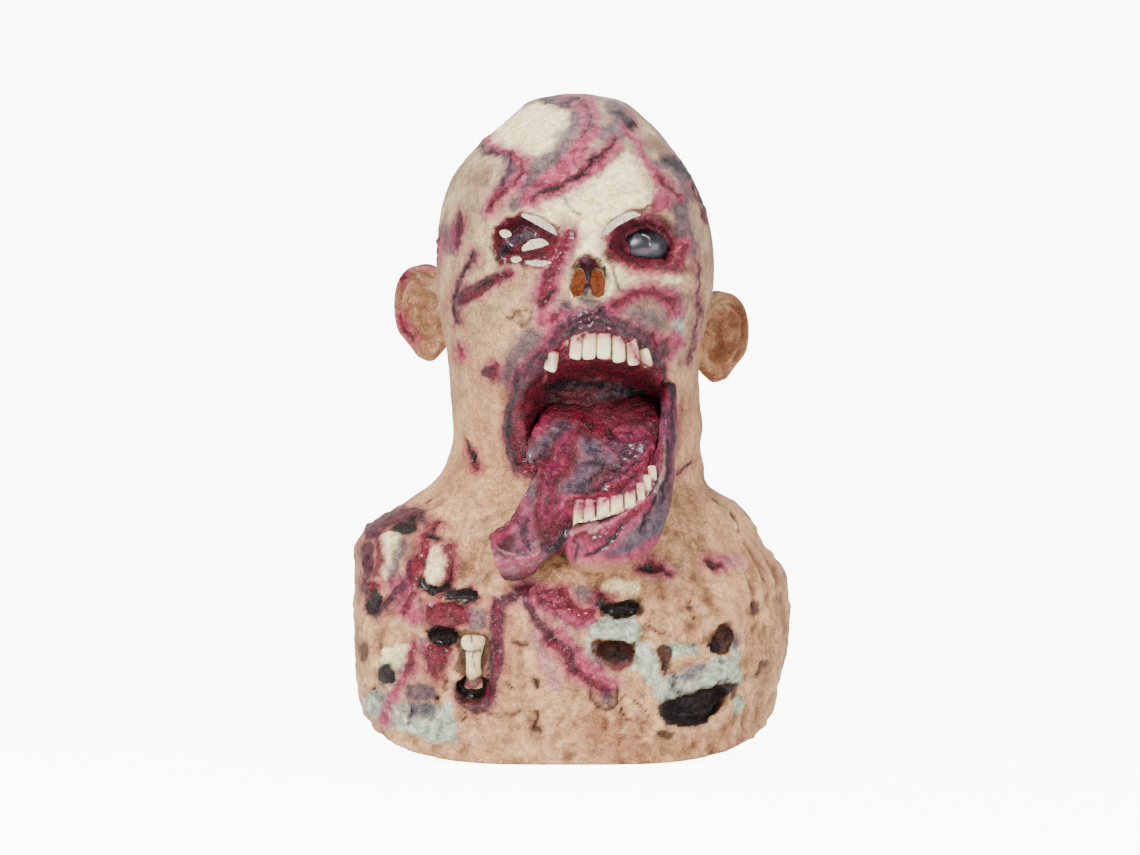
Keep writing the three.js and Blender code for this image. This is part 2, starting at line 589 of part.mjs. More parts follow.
// A gum is a bar through the necks of the teeth.
function gumSolid(necks, radius) {
  const curve = new THREE.CatmullRomCurve3(necks);
  const shape = new THREE.Shape();
  for (let j = 0; j < TOOTH_SIDES; j++) {
    const turn = (j / TOOTH_SIDES) * 2 * Math.PI;
    shape[j ? "lineTo" : "moveTo"](radius * Math.cos(turn), radius * Math.sin(turn));
  }
  const steps = Math.ceil(GUM_STEPS * necks.length);
  return manifoldOf(new THREE.ExtrudeGeometry(shape, { extrudePath: curve, steps, bevelEnabled: false }));
}

function upperTeeth() {
  const sunk = TOOTH_WIDTH * NECK_SUNK;
  const necks = UPPER_TEETH.map(({ x, z }) => {
    const place = new THREE.Vector3(x * HEAD_WIDTH, 0, z * MASK_HEIGHT);
    return place.setY(skinFront(place.x, place.z) + sunk);
  });
  const teeth = UPPER_TEETH.map(({ wide, high, lean }, i) =>
    toothSolid(necks[i], TOOTH_WIDTH * wide, TOOTH_HEIGHT * high, lean, -1),
  );
  return teeth.reduce((sum, tooth) => sum.add(tooth), gumSolid(necks, TOOTH_WIDTH * UPPER_GUM));
}

function lowerTeeth() {
  const stations = sweepStations(JAW_LINE);
  const ridge = new THREE.CatmullRomCurve3(
    stations.map(({ point, along, high }) => {
      const upright = new THREE.Vector3(0, 0, 1).addScaledVector(along, -along.z).normalize();
      return point.clone().addScaledVector(upright, (JAW_HEIGHT * high) / 2);
    }),
  );
  const places = Array.from({ length: LOWER_TEETH_COUNT }, (_, i) => i / (LOWER_TEETH_COUNT - 1));
  const necks = places.map((share) =>
    ridge.getPoint(THREE.MathUtils.lerp(LOWER_ROW.start, LOWER_ROW.end, share)),
  );
  const teeth = places.map((share, i) => {
    const beside = necks[i ? i - 1 : 1];
    const width = Math.abs(necks[i].x - beside.x) - LOWER_TOOTH_SPACE;
    const height = LOWER_TOOTH_HEIGHT * THREE.MathUtils.lerp(1, LOWER_ROW.last, share);
    return toothSolid(necks[i], width, height, LOWER_ROW.lean * (share - 0.5), 1);
  });
  return teeth.reduce((sum, tooth) => sum.add(tooth), gumSolid(necks, LOWER_TOOTH_HEIGHT * LOWER_GUM));
}

function formPlace(name) {
  const form = [...FACE_FORMS, ...CHEST_FORMS].find((row) => row.name === name);
  const x = form.x * HEAD_WIDTH;
  const z = form.z * MASK_HEIGHT;
  return new THREE.Vector3(x, skinFront(x, z), z);
}

function eyeball() {
  const place = formPlace("right socket");
  place.y += EYEBALL_RADIUS * EYEBALL_SHIFT.deep;
  place.z -= EYEBALL_RADIUS * EYEBALL_SHIFT.down;
  const geometry = new THREE.SphereGeometry(EYEBALL_RADIUS, EYEBALL_SIDES, 10);
  geometry.scale(...EYEBALL_SHAPE);
  geometry.translate(place.x, place.y, place.z);
  return manifoldOf(geometry);
}

function ribBone() {
  const place = formPlace("bone bed");
  const rings = BONE_RINGS.map(({ at, size }) =>
    Array.from({ length: BONE_SIDES }, (_, j) => {
      const turn = (j / BONE_SIDES) * 2 * Math.PI;
      const radius = BONE_RADIUS * size;
      return new THREE.Vector3(radius * Math.cos(turn), radius * Math.sin(turn), BONE_LENGTH * at).add(place);
    }),
  );
  return loftSolid(rings);
}

const hollow = hollowSolid();
const ears = EARS.map((ear) => earSolid(ear).subtract(hollow));
const cast = ears.reduce((sum, ear) => sum.add(ear), outerSolid(0).subtract(hollow));
const skin = HOLES.reduce((sum, hole) => sum.subtract(crescent(hole)), cast);
// In a sharp hollow the grown skin folds over itself, so the bed is filled with less grown ones.
const bed = [GLUE_GAP, GLUE_GAP / 2, 0].map(outerSolid).reduce((sum, body) => sum.add(body));
const jawRoom = jawSolid(GLUE_GAP);

const mask = new THREE.Group();
mask.add(meshOf("mask_skin", skin, 0xcfae8e, 0.55));
mask.add(meshOf("eyeball", eyeball().subtract(bed), 0x6d7480, 0.2));
mask.add(meshOf("upper_teeth", upperTeeth().subtract(bed), 0xe8dfb8, 0.35));
mask.add(meshOf("lower_jaw", jawSolid(0).subtract(bed), 0xa45a70, 0.45));
mask.add(meshOf("lower_teeth", lowerTeeth().subtract(bed).subtract(jawRoom), 0xe0d2b4, 0.35));
mask.add(meshOf("tongue", tongueSolid().subtract(bed).subtract(jawRoom), 0x9c3f55, 0.3));
mask.add(meshOf("rib_bone", ribBone().subtract(bed), 0xe6dcc0, 0.4));

// The origin is in the middle of the mask's footprint, on the surface that it stands on.
const bounds = new THREE.Box3().setFromObject(mask);
const middle = bounds.getCenter(new THREE.Vector3());
mask.position.set(-middle.x, -middle.y, -bounds.min.z);

export default mask;
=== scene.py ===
"""A full-head latex horror mask: a rotting ghoul's head, neck and chest in one hollow painted skin, with a
dead eye, teeth, a dropped jaw, a torn tongue and a stub of rib glued on. It stands on its chest rim."""

import math

import bpy
import numpy as np
from mathutils import Matrix, Vector, kdtree, noise


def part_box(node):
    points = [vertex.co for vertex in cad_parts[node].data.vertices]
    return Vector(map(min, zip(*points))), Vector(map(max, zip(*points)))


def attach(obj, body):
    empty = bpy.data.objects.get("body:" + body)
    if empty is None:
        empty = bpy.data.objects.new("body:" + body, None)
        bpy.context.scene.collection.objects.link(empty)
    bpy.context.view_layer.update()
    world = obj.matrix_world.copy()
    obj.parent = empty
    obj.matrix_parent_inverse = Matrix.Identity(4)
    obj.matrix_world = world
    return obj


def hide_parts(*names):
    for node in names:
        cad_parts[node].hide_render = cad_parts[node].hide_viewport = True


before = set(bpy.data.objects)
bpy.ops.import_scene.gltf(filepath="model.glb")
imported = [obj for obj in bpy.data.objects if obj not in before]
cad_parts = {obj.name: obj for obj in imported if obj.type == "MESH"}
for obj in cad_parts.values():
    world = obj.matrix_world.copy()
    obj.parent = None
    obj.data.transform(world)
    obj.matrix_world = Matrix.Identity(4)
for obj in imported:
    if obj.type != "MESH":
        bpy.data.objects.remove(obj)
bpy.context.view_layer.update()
bpy.ops.object.select_all(action="DESELECT")


# The table, the studio and the camera. The mask stands on a pale sweep under three soft lights, and the
# camera is in front of it at half its height.
PIXEL = 0.000687  # metres of the mask to a pixel of the photograph
PHOTO_COLUMNS, PHOTO_ROWS = 1140, 855
CAMERA_AT = (-0.0006, -3.0, 0.2245)


def mask_to_pixel(points):
    """The photograph's columns and rows of points on the mask."""
    reach = (points[:, 1] - CAMERA_AT[1]) / -CAMERA_AT[1]
    columns = PHOTO_COLUMNS / 2 + (points[:, 0] - CAMERA_AT[0]) / (PIXEL * reach)
    rows = PHOTO_ROWS / 2 - (points[:, 2] - CAMERA_AT[2]) / (PIXEL * reach)
    return columns, rows


SENSOR = 36.0  # in millimetres
camera_data = bpy.data.cameras.new("camera")
camera_data.sensor_width = SENSOR
camera_data.lens = SENSOR * -CAMERA_AT[1] / (PHOTO_COLUMNS * PIXEL)
camera = bpy.data.objects.new("camera", camera_data)
camera.location = CAMERA_AT
camera.rotation_euler = (math.pi / 2, 0, 0)
bpy.context.collection.objects.link(camera)
bpy.context.scene.camera = camera


def soft_light(name, place, size, power):
    """A square studio light, turned towards the middle of the mask."""
    bpy.ops.object.light_add(type="AREA", location=place)
    light = bpy.context.object
    light.name = name
    light.data.size = size
    light.data.energy = power
    light.rotation_euler = (MASK_MIDDLE - Vector(place)).to_track_quat("-Z", "Y").to_euler()


MASK_MIDDLE = Vector((0, 0, 0.24))
soft_light("key light", (-1.1, -1.9, 1.7), size=0.8, power=128)
soft_light("fill light", (1.7, -1.6, 0.7), size=1.3, power=34)
soft_light("top light", (0, 0.5, 1.9), size=1.2, power=30)

ROOM_LIGHT = 0.68
world = bpy.data.worlds.new("white room")
world.use_nodes = True
world.node_tree.nodes["Background"].inputs["Color"].default_value = (1, 1, 1, 1)
world.node_tree.nodes["Background"].inputs["Strength"].default_value = ROOM_LIGHT
bpy.context.scene.world = world


def add_node(tree, kind, links=(), **settings):
    """A shader node. links are pairs of an input and its value, or the socket that feeds it."""
    made = tree.nodes.new(kind)
    for name, value in settings.items():
        setattr(made, name, value)
    for name, value in links:
        if isinstance(value, bpy.types.NodeSocket):
            tree.links.new(value, made.inputs[name])
        else:
            made.inputs[name].default_value = value
    return made


PALEST = 0.92  # the lightest that a paint gets
DEEPENED = 1.8  # the power that deepens the darker ones


def paint(red, green, blue):
    """A colour as the eye names it, from 0 to 255, in the shader's light, deepened for the soft studio."""
    linear = [((c / 255 + 0.055) / 1.055) ** 2.4 if c > 10 else c / 255 / 12.92 for c in (red, green, blue)]
    return (*[PALEST * (c / PALEST) ** DEEPENED for c in linear], 1)


def piece_place(tree):
    """The place on a material's own piece, in metres."""
    return add_node(tree, "ShaderNodeTexCoord").outputs["Object"]


def new_material(name):
    """A material, with its tree and its main shader."""
    material = bpy.data.materials.new(name)
    material.use_nodes = True
    tree = material.node_tree
    return material, tree, tree.nodes["Principled BSDF"]


SWEEP_SIZE, SWEEP_BEND = 9.0, 1.5
PAPER_SHADES = ((0.9, 0.9, 0.9, 1), (0.93, 0.93, 0.93, 1))
PAPER_GLOW = 9  # which only the camera sees
sweep_material, tree, shader = new_material("pale sweep")
paper = add_node(tree, "ShaderNodeTexNoise", [("Vector", piece_place(tree)), ("Scale", 30), ("Detail", 3)])
tint = add_node(
    tree, "ShaderNodeMix",
    [("Factor", paper.outputs["Fac"]), (6, PAPER_SHADES[0]), (7, PAPER_SHADES[1])],
    data_type="RGBA",
)
tree.links.new(tint.outputs[2], shader.inputs["Base Color"])
shader.inputs["Roughness"].default_value = 0.7
shader.inputs["Emission Color"].default_value = (1, 1, 1, 1)
seen = add_node(tree, "ShaderNodeLightPath").outputs["Is Camera Ray"]
glow = add_node(tree, "ShaderNodeMath", [(0, seen), (1, PAPER_GLOW)], operation="MULTIPLY").outputs[0]
tree.links.new(glow, shader.inputs["Emission Strength"])

bpy.ops.mesh.primitive_plane_add(size=SWEEP_SIZE)
sweep = bpy.context.object
sweep.name = "sweep"
bpy.ops.object.mode_set(mode="EDIT")
bpy.ops.mesh.select_all(action="DESELECT")
bpy.ops.object.mode_set(mode="OBJECT")
for edge in sweep.data.edges:
    edge.select = all(sweep.data.vertices[v].co.y > 0 for v in edge.vertices)
bpy.ops.object.mode_set(mode="EDIT")
bpy.ops.mesh.select_mode(type="EDGE")
bpy.ops.mesh.extrude_region_move(TRANSFORM_OT_translate={"value": (0, 0, SWEEP_SIZE / 2)})
bpy.ops.object.mode_set(mode="OBJECT")
bend = sweep.modifiers.new("bend", "BEVEL")
bend.width = SWEEP_BEND
bend.segments = 16
bpy.ops.object.modifier_apply(modifier="bend")
bpy.ops.object.shade_smooth()
sweep.data.materials.append(sweep_material)


# The skin: head, neck and chest in one slush-cast latex skin, hollow and open below, with the ears cast on
# and sight slits and nostrils cut through. It is painted flesh, bone and wounds, and left bare amber inside,
# with painted brightness near white behind the eyes.
HEAD_WIDTH, HEAD_DEPTH = 0.190, 0.226
NECK_WIDTH, NECK_DEPTH = 0.170, 0.160
CHEST_WIDTH, CHEST_DEPTH = 0.297, 0.208
MASK_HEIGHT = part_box("mask_skin")[1].z
WALL = 0.0026
RIM_ARCH = 0.048  # how high the rim rises over the shoulders
RIM_LEVEL = math.radians(16.3)  # how far round from the middle the rim is level
RIM_ROUND = math.radians(8)  # how rounded the top of the arch is

# Cross-sections, from the crown down, as shares of the zone's width and depth and of the mask's height.
SECTION_COLUMNS = ("at", "left", "right", "front", "back", "square")
SECTIONS = {
    (HEAD_WIDTH, HEAD_DEPTH): [
        (0.9985, 0.058, 0.079, 0.013, 0.142, 2),
        (0.99, 0.147, 0.172, -0.071, 0.23, 2),
        (0.9745, 0.2, 0.233, -0.159, 0.31, 2),
        (0.9447, 0.283, 0.308, -0.261, 0.398, 2.05),
        (0.915, 0.355, 0.365, -0.323, 0.456, 2.1),
        (0.87, 0.438, 0.437, -0.381, 0.509, 2.15),
        (0.81, 0.481, 0.494, -0.425, 0.544, 2.2),
        (0.75, 0.491, 0.515, -0.442, 0.558, 2.2),
        (0.69, 0.484, 0.508, -0.451, 0.549, 2.2),
        (0.646, 0.473, 0.483, -0.449, 0.522, 2.2),
        (0.601, 0.452, 0.46, -0.43, 0.478, 2.15),
    ],
    (NECK_WIDTH, NECK_DEPTH): [
        (0.541, 0.492, 0.516, -0.525, 0.606, 2.1),
        (0.496, 0.484, 0.528, -0.475, 0.569, 2.05),
        (0.466, 0.488, 0.52, -0.45, 0.55, 2),
        (0.436, 0.515, 0.534, -0.438, 0.55, 2),
        (0.407, 0.575, 0.55, -0.438, 0.563, 1.95),
    ],
    (CHEST_WIDTH, CHEST_DEPTH): [
        (0.377, 0.398, 0.386, -0.351, 0.452, 1.9),
        (0.347, 0.47, 0.424, -0.375, 0.471, 1.9),
        (0.317, 0.505, 0.445, -0.399, 0.49, 2),
        (0.28, 0.508, 0.49, -0.428, 0.51, 2.1),
        (0.25, 0.506, 0.5, -0.447, 0.515, 2.2),
        (0.167, 0.505, 0.5, -0.476, 0.524, 2.3),
        (0.1, 0.495, 0.475, -0.474, 0.519, 2.3),
        (0, 0.465, 0.45, -0.462, 0.505, 2.3),
    ],
}

# Forms raised from the front or sunk into it. x, wide, high: shares of the head's width; z: of the height;
# out: of the head's depth; flat: the share of the form that is level before it falls away.
FORM_COLUMNS = ("x", "z", "wide", "high", "turn", "out", "flat")
FORMS = {
    "left brow": (-0.11, 0.822, 0.19, 0.06, -14, 0.026, 0.1),
    "right brow": (0.26, 0.825, 0.19, 0.065, 12, 0.028, 0.1),
    "left socket": (-0.17, 0.772, 0.125, 0.085, 0, -0.07, 0.45),
    "right socket": (0.262, 0.768, 0.155, 0.115, 8, -0.078, 0.5),
    "nose bone": (0.062, 0.757, 0.085, 0.16, 0, 0.032, 0.25),
    "nose rim": (0.062, 0.712, 0.14, 0.13, 0, 0.03, 0.35),
    "nose hollow": (0.062, 0.708, 0.08, 0.085, 0, -0.075, 0.45),
    "upper jaw": (0.13, 0.632, 0.25, 0.16, 0, 0.045, 0.2),
    "right cheekbone": (0.34, 0.708, 0.17, 0.06, 0, 0.03, 0.2),
    "left cheekbone": (-0.31, 0.7, 0.15, 0.09, 20, 0.022, 0.1),
    "right cheek": (0.3, 0.635, 0.16, 0.13, 0, 0.02, 0.1),
    "mouth": (0.085, 0.512, 0.29, 0.21, 0, -0.11, 0.62),
    "left torn lip": (-0.17, 0.53, 0.05, 0.2, 8, 0.03, 0.1),
    "right torn lip": (0.35, 0.53, 0.045, 0.2, -3, 0.026, 0.1),
    "shoulder gash": (-0.6, 0.348, 0.075, 0.04, 20, -0.022, 0.3),
    "shoulder rib": (-0.62, 0.29, 0.05, 0.13, 6, 0.018, 0.2),
    "upper rib": (-0.465, 0.282, 0.05, 0.1, 0, 0.02, 0.2),
    "shoulder pit": (-0.66, 0.227, 0.06, 0.06, 0, -0.026, 0.3),
    "pit under rib": (-0.46, 0.252, 0.06, 0.035, 0, -0.026, 0.3),
    "torn pocket": (-0.385, 0.238, 0.08, 0.04, 10, -0.026, 0.4),
    "raw flap": (-0.45, 0.213, 0.1, 0.05, 0, 0.024, 0.3),
    "dark gap": (-0.445, 0.182, 0.085, 0.04, 0, -0.034, 0.4),
    "bone bed": (-0.345, 0.15, 0.06, 0.11, 0, -0.02, 0.4),
    "bone hole": (-0.345, 0.107, 0.075, 0.055, 0, -0.04, 0.5),
    "side pit": (-0.625, 0.14, 0.06, 0.075, -10, -0.026, 0.3),
    "middle gash": (0.175, 0.223, 0.09, 0.038, 0, -0.034, 0.4),
    "middle rib": (0.15, 0.192, 0.12, 0.04, 0, 0.02, 0.3),
    "middle window": (0.15, 0.156, 0.09, 0.052, 0, -0.04, 0.55),
    "teardrop pit": (0.328, 0.153, 0.035, 0.05, 10, -0.02, 0.4),
    "shoulder hole": (0.515, 0.18, 0.06, 0.06, 30, -0.035, 0.4),
    "long rib": (0.46, 0.125, 0.17, 0.045, 16, 0.022, 0.4),
    "long window": (0.44, 0.085, 0.13, 0.065, 12, -0.05, 0.6),
    "fold": (0.12, 0.098, 0.05, 0.05, 0, -0.014, 0.2),
}


def smooth(share):
    """From 0 to 1 with level ends."""
    t = np.clip(share, 0, 1)
    return t * t * (3 - 2 * t)


def curve_through(keys, values, at):
    """Values at the places at, on a smooth curve through the rows."""
    keys, values = np.asarray(keys, float), np.asarray(values, float)
    last = len(keys) - 1
    rows = np.arange(len(keys))
    low, high = np.maximum(rows - 1, 0), np.minimum(rows + 1, last)
    slope = (values[high] - values[low]) / (keys[high] - keys[low])
    i = np.clip(np.searchsorted(keys, at) - 1, 0, last - 1)
    span = keys[i + 1] - keys[i]
    t = np.clip((at - keys[i]) / span, 0, 1)
    rise = values[i + 1] - values[i]
    bend = (1 - t) * (slope[i] * span - rise) - t * (slope[i + 1] * span - rise)
    return values[i] + rise * t + t * (1 - t) * bend


section_rows = []
for (zone_width, zone_depth), rows in SECTIONS.items():
    for at, left, right, front, back, square in rows:
        across = (-left * zone_width, right * zone_width)
        along = (front * zone_depth, back * zone_depth)
        section_rows.append((at * MASK_HEIGHT, *across, *along, square))
section_rows.sort()
section_table = dict(zip(SECTION_COLUMNS, np.array(section_rows).T))


def section(z):
    """The skin's reaches at a height: left, right, front, back, and how square it is."""
    return [curve_through(section_table["at"], section_table[name], z) for name in SECTION_COLUMNS[1:]]


def relief(x, z):
    """How far the forms lift the skin at places seen from the front."""
    out = np.zeros(np.broadcast(x, z).shape)
    for row in FORMS.values():
        form = dict(zip(FORM_COLUMNS, row))
        turn = math.radians(form["turn"])
        across = x - form["x"] * HEAD_WIDTH
        up = z - form["z"] * MASK_HEIGHT
        u = (across * math.cos(turn) + up * math.sin(turn)) / (form["wide"] * HEAD_WIDTH)
        v = (up * math.cos(turn) - across * math.sin(turn)) / (form["high"] * HEAD_WIDTH)
        out += form["out"] * HEAD_DEPTH * smooth((1 - np.hypot(u, v)) / (1 - form["flat"]))
    return out


CROWN_START = 0.9985  # the highest section, above which the skin closes over
FORMS_START, FORMS_FADE = 0.15, 0.45  # how far forward the skin faces where forms begin, and over what


def skin_points(angle, level, with_forms=True):
    """Points of the skin at angles from the front and shares of the way from the rim to the crown."""
    from_side = np.hypot(np.arccos(np.minimum(np.abs(np.sin(angle)), 1)), RIM_ROUND)
    rim = RIM_ARCH * np.maximum(1 - from_side / (math.pi / 2 - RIM_LEVEL), 0) ** 3
    z = rim + (MASK_HEIGHT - rim) * np.minimum(level, CROWN_START)
    left, right, front, back, square = section(z)
    across, ahead = np.sin(angle), np.cos(angle)
    half_width, half_depth = (right - left) / 2, (back - front) / 2
    size = (np.abs(across / half_width) ** square + np.abs(ahead / half_depth) ** square) ** (-1 / square)
    cap = np.sqrt(np.clip((1 - level) / (1 - CROWN_START), 0, 1))
    x = (left + right) / 2 + size * across * cap
    y = (front + back) / 2 - size * ahead * cap
    if with_forms:
        y = y - relief(x, z) * smooth((ahead - FORMS_START) / FORMS_FADE)
    z = np.maximum(z, rim + (MASK_HEIGHT - rim) * level)
    return np.stack([x, y, z], -1)


FRONT_EDGE = 0.98  # how far to the side the front is followed, as a share of the half width


def skin_front(x, z):
    """The y of the skin's front at places seen from the front."""
    left, right, front, back, square = section(z)
    across = np.minimum(np.abs((x - (left + right) / 2) / ((right - left) / 2)), FRONT_EDGE)
    return (front + back) / 2 - (back - front) / 2 * (1 - across**square) ** (1 / square) - relief(x, z)


def front_place(row):
    """Where on the skin's front a row of a table is, by its x and z."""
    x, z = row["x"] * HEAD_WIDTH, row["z"] * MASK_HEIGHT
    return np.array((x, float(skin_front(np.array(x), np.array(z))), z))


def spread(stops):
    """Values from the first stop to the last, each stop giving where it is and the steps up to it."""
    values = [np.array([stops[0][0]])]
    for (start, _), (end, steps) in zip(stops, stops[1:]):
        values.append(np.linspace(start, end, steps + 1)[1:])
    return np.concatenate(values)


def surface_normals(points):
    """Outward normals of a grid of points. Its rows go up, and its columns round from the back's left."""
    around = np.roll(points, -1, 1) - np.roll(points, 1, 1)
    around[:, 0] = around[:, -1] = points[:, 1] - points[:, -2]
    up = np.gradient(points, axis=0)
    normal = np.cross(around, up)
    return normal / np.maximum(np.linalg.norm(normal, axis=-1, keepdims=True), 1e-12)


def mesh_points(piece, kind="co"):
    """The places of a piece's vertices, or with kind as normal their outward directions."""
    flat = np.empty(len(piece.data.vertices) * 3)
    piece.data.vertices.foreach_get(kind, flat)
    return flat.reshape(-1, 3)


def face_outward():
    """Merges the doubles of the active piece and turns its faces outwards."""
    bpy.ops.object.mode_set(mode="EDIT")
    bpy.ops.mesh.select_all(action="SELECT")
    bpy.ops.mesh.remove_doubles(threshold=1e-6)
    bpy.ops.mesh.normals_make_consistent(inside=False)
    bpy.ops.object.mode_set(mode="OBJECT")


def rolled_grid(name, points):
    """A closed solid: a flat grid primitive rolled up through rows of points, its ends drawn together."""
    rows, columns = points.shape[:2]
    bpy.ops.object.select_all(action="DESELECT")
    bpy.ops.mesh.primitive_grid_add(x_subdivisions=columns - 1, y_subdivisions=rows - 1, size=1)
    made = bpy.context.object
    made.name = name
    flat = mesh_points(made)
    column = np.rint((flat[:, 0] + 0.5) * (columns - 1)).astype(int)
    row = np.rint((flat[:, 1] + 0.5) * (rows - 1)).astype(int)
    made.data.vertices.foreach_set("co", points[row, column].ravel())
    face_outward()
    return made


def closed_rows(points, low_middle=None, high_middle=None):
    """The rows with one more at each end, drawn to the end row's middle or to the point given."""
    low = points[0].mean(0) if low_middle is None else np.asarray(low_middle)
    high = points[-1].mean(0) if high_middle is None else np.asarray(high_middle)
    columns = points.shape[1]
    return np.concatenate([np.tile(low, (1, columns, 1)), points, np.tile(high, (1, columns, 1))])


# The grid of the skin: each stop's angle or level, and the steps up to it, which are finest on the face.
ANGLES = np.radians(spread([(-180, 0), (-78, 30), (78, 168), (180, 30)]))
LEVELS = spread([(0, 0), (0.32, 82), (0.56, 58), (0.87, 92), (0.974, 30), (CROWN_START, 12), (0.99995, 5)])
angle_grid, level_grid = np.meshgrid(ANGLES, LEVELS)
outer = skin_points(angle_grid, level_grid)

# The mask's design stands over its own middle line, and the frame over the middle of its footprint.
low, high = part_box("mask_skin")
sideways = (low.x + high.x - outer[..., 0].min() - outer[..., 0].max()) / 2
SHIFT = np.array([sideways, high.y - outer[..., 1].max(), 0])
outer += SHIFT

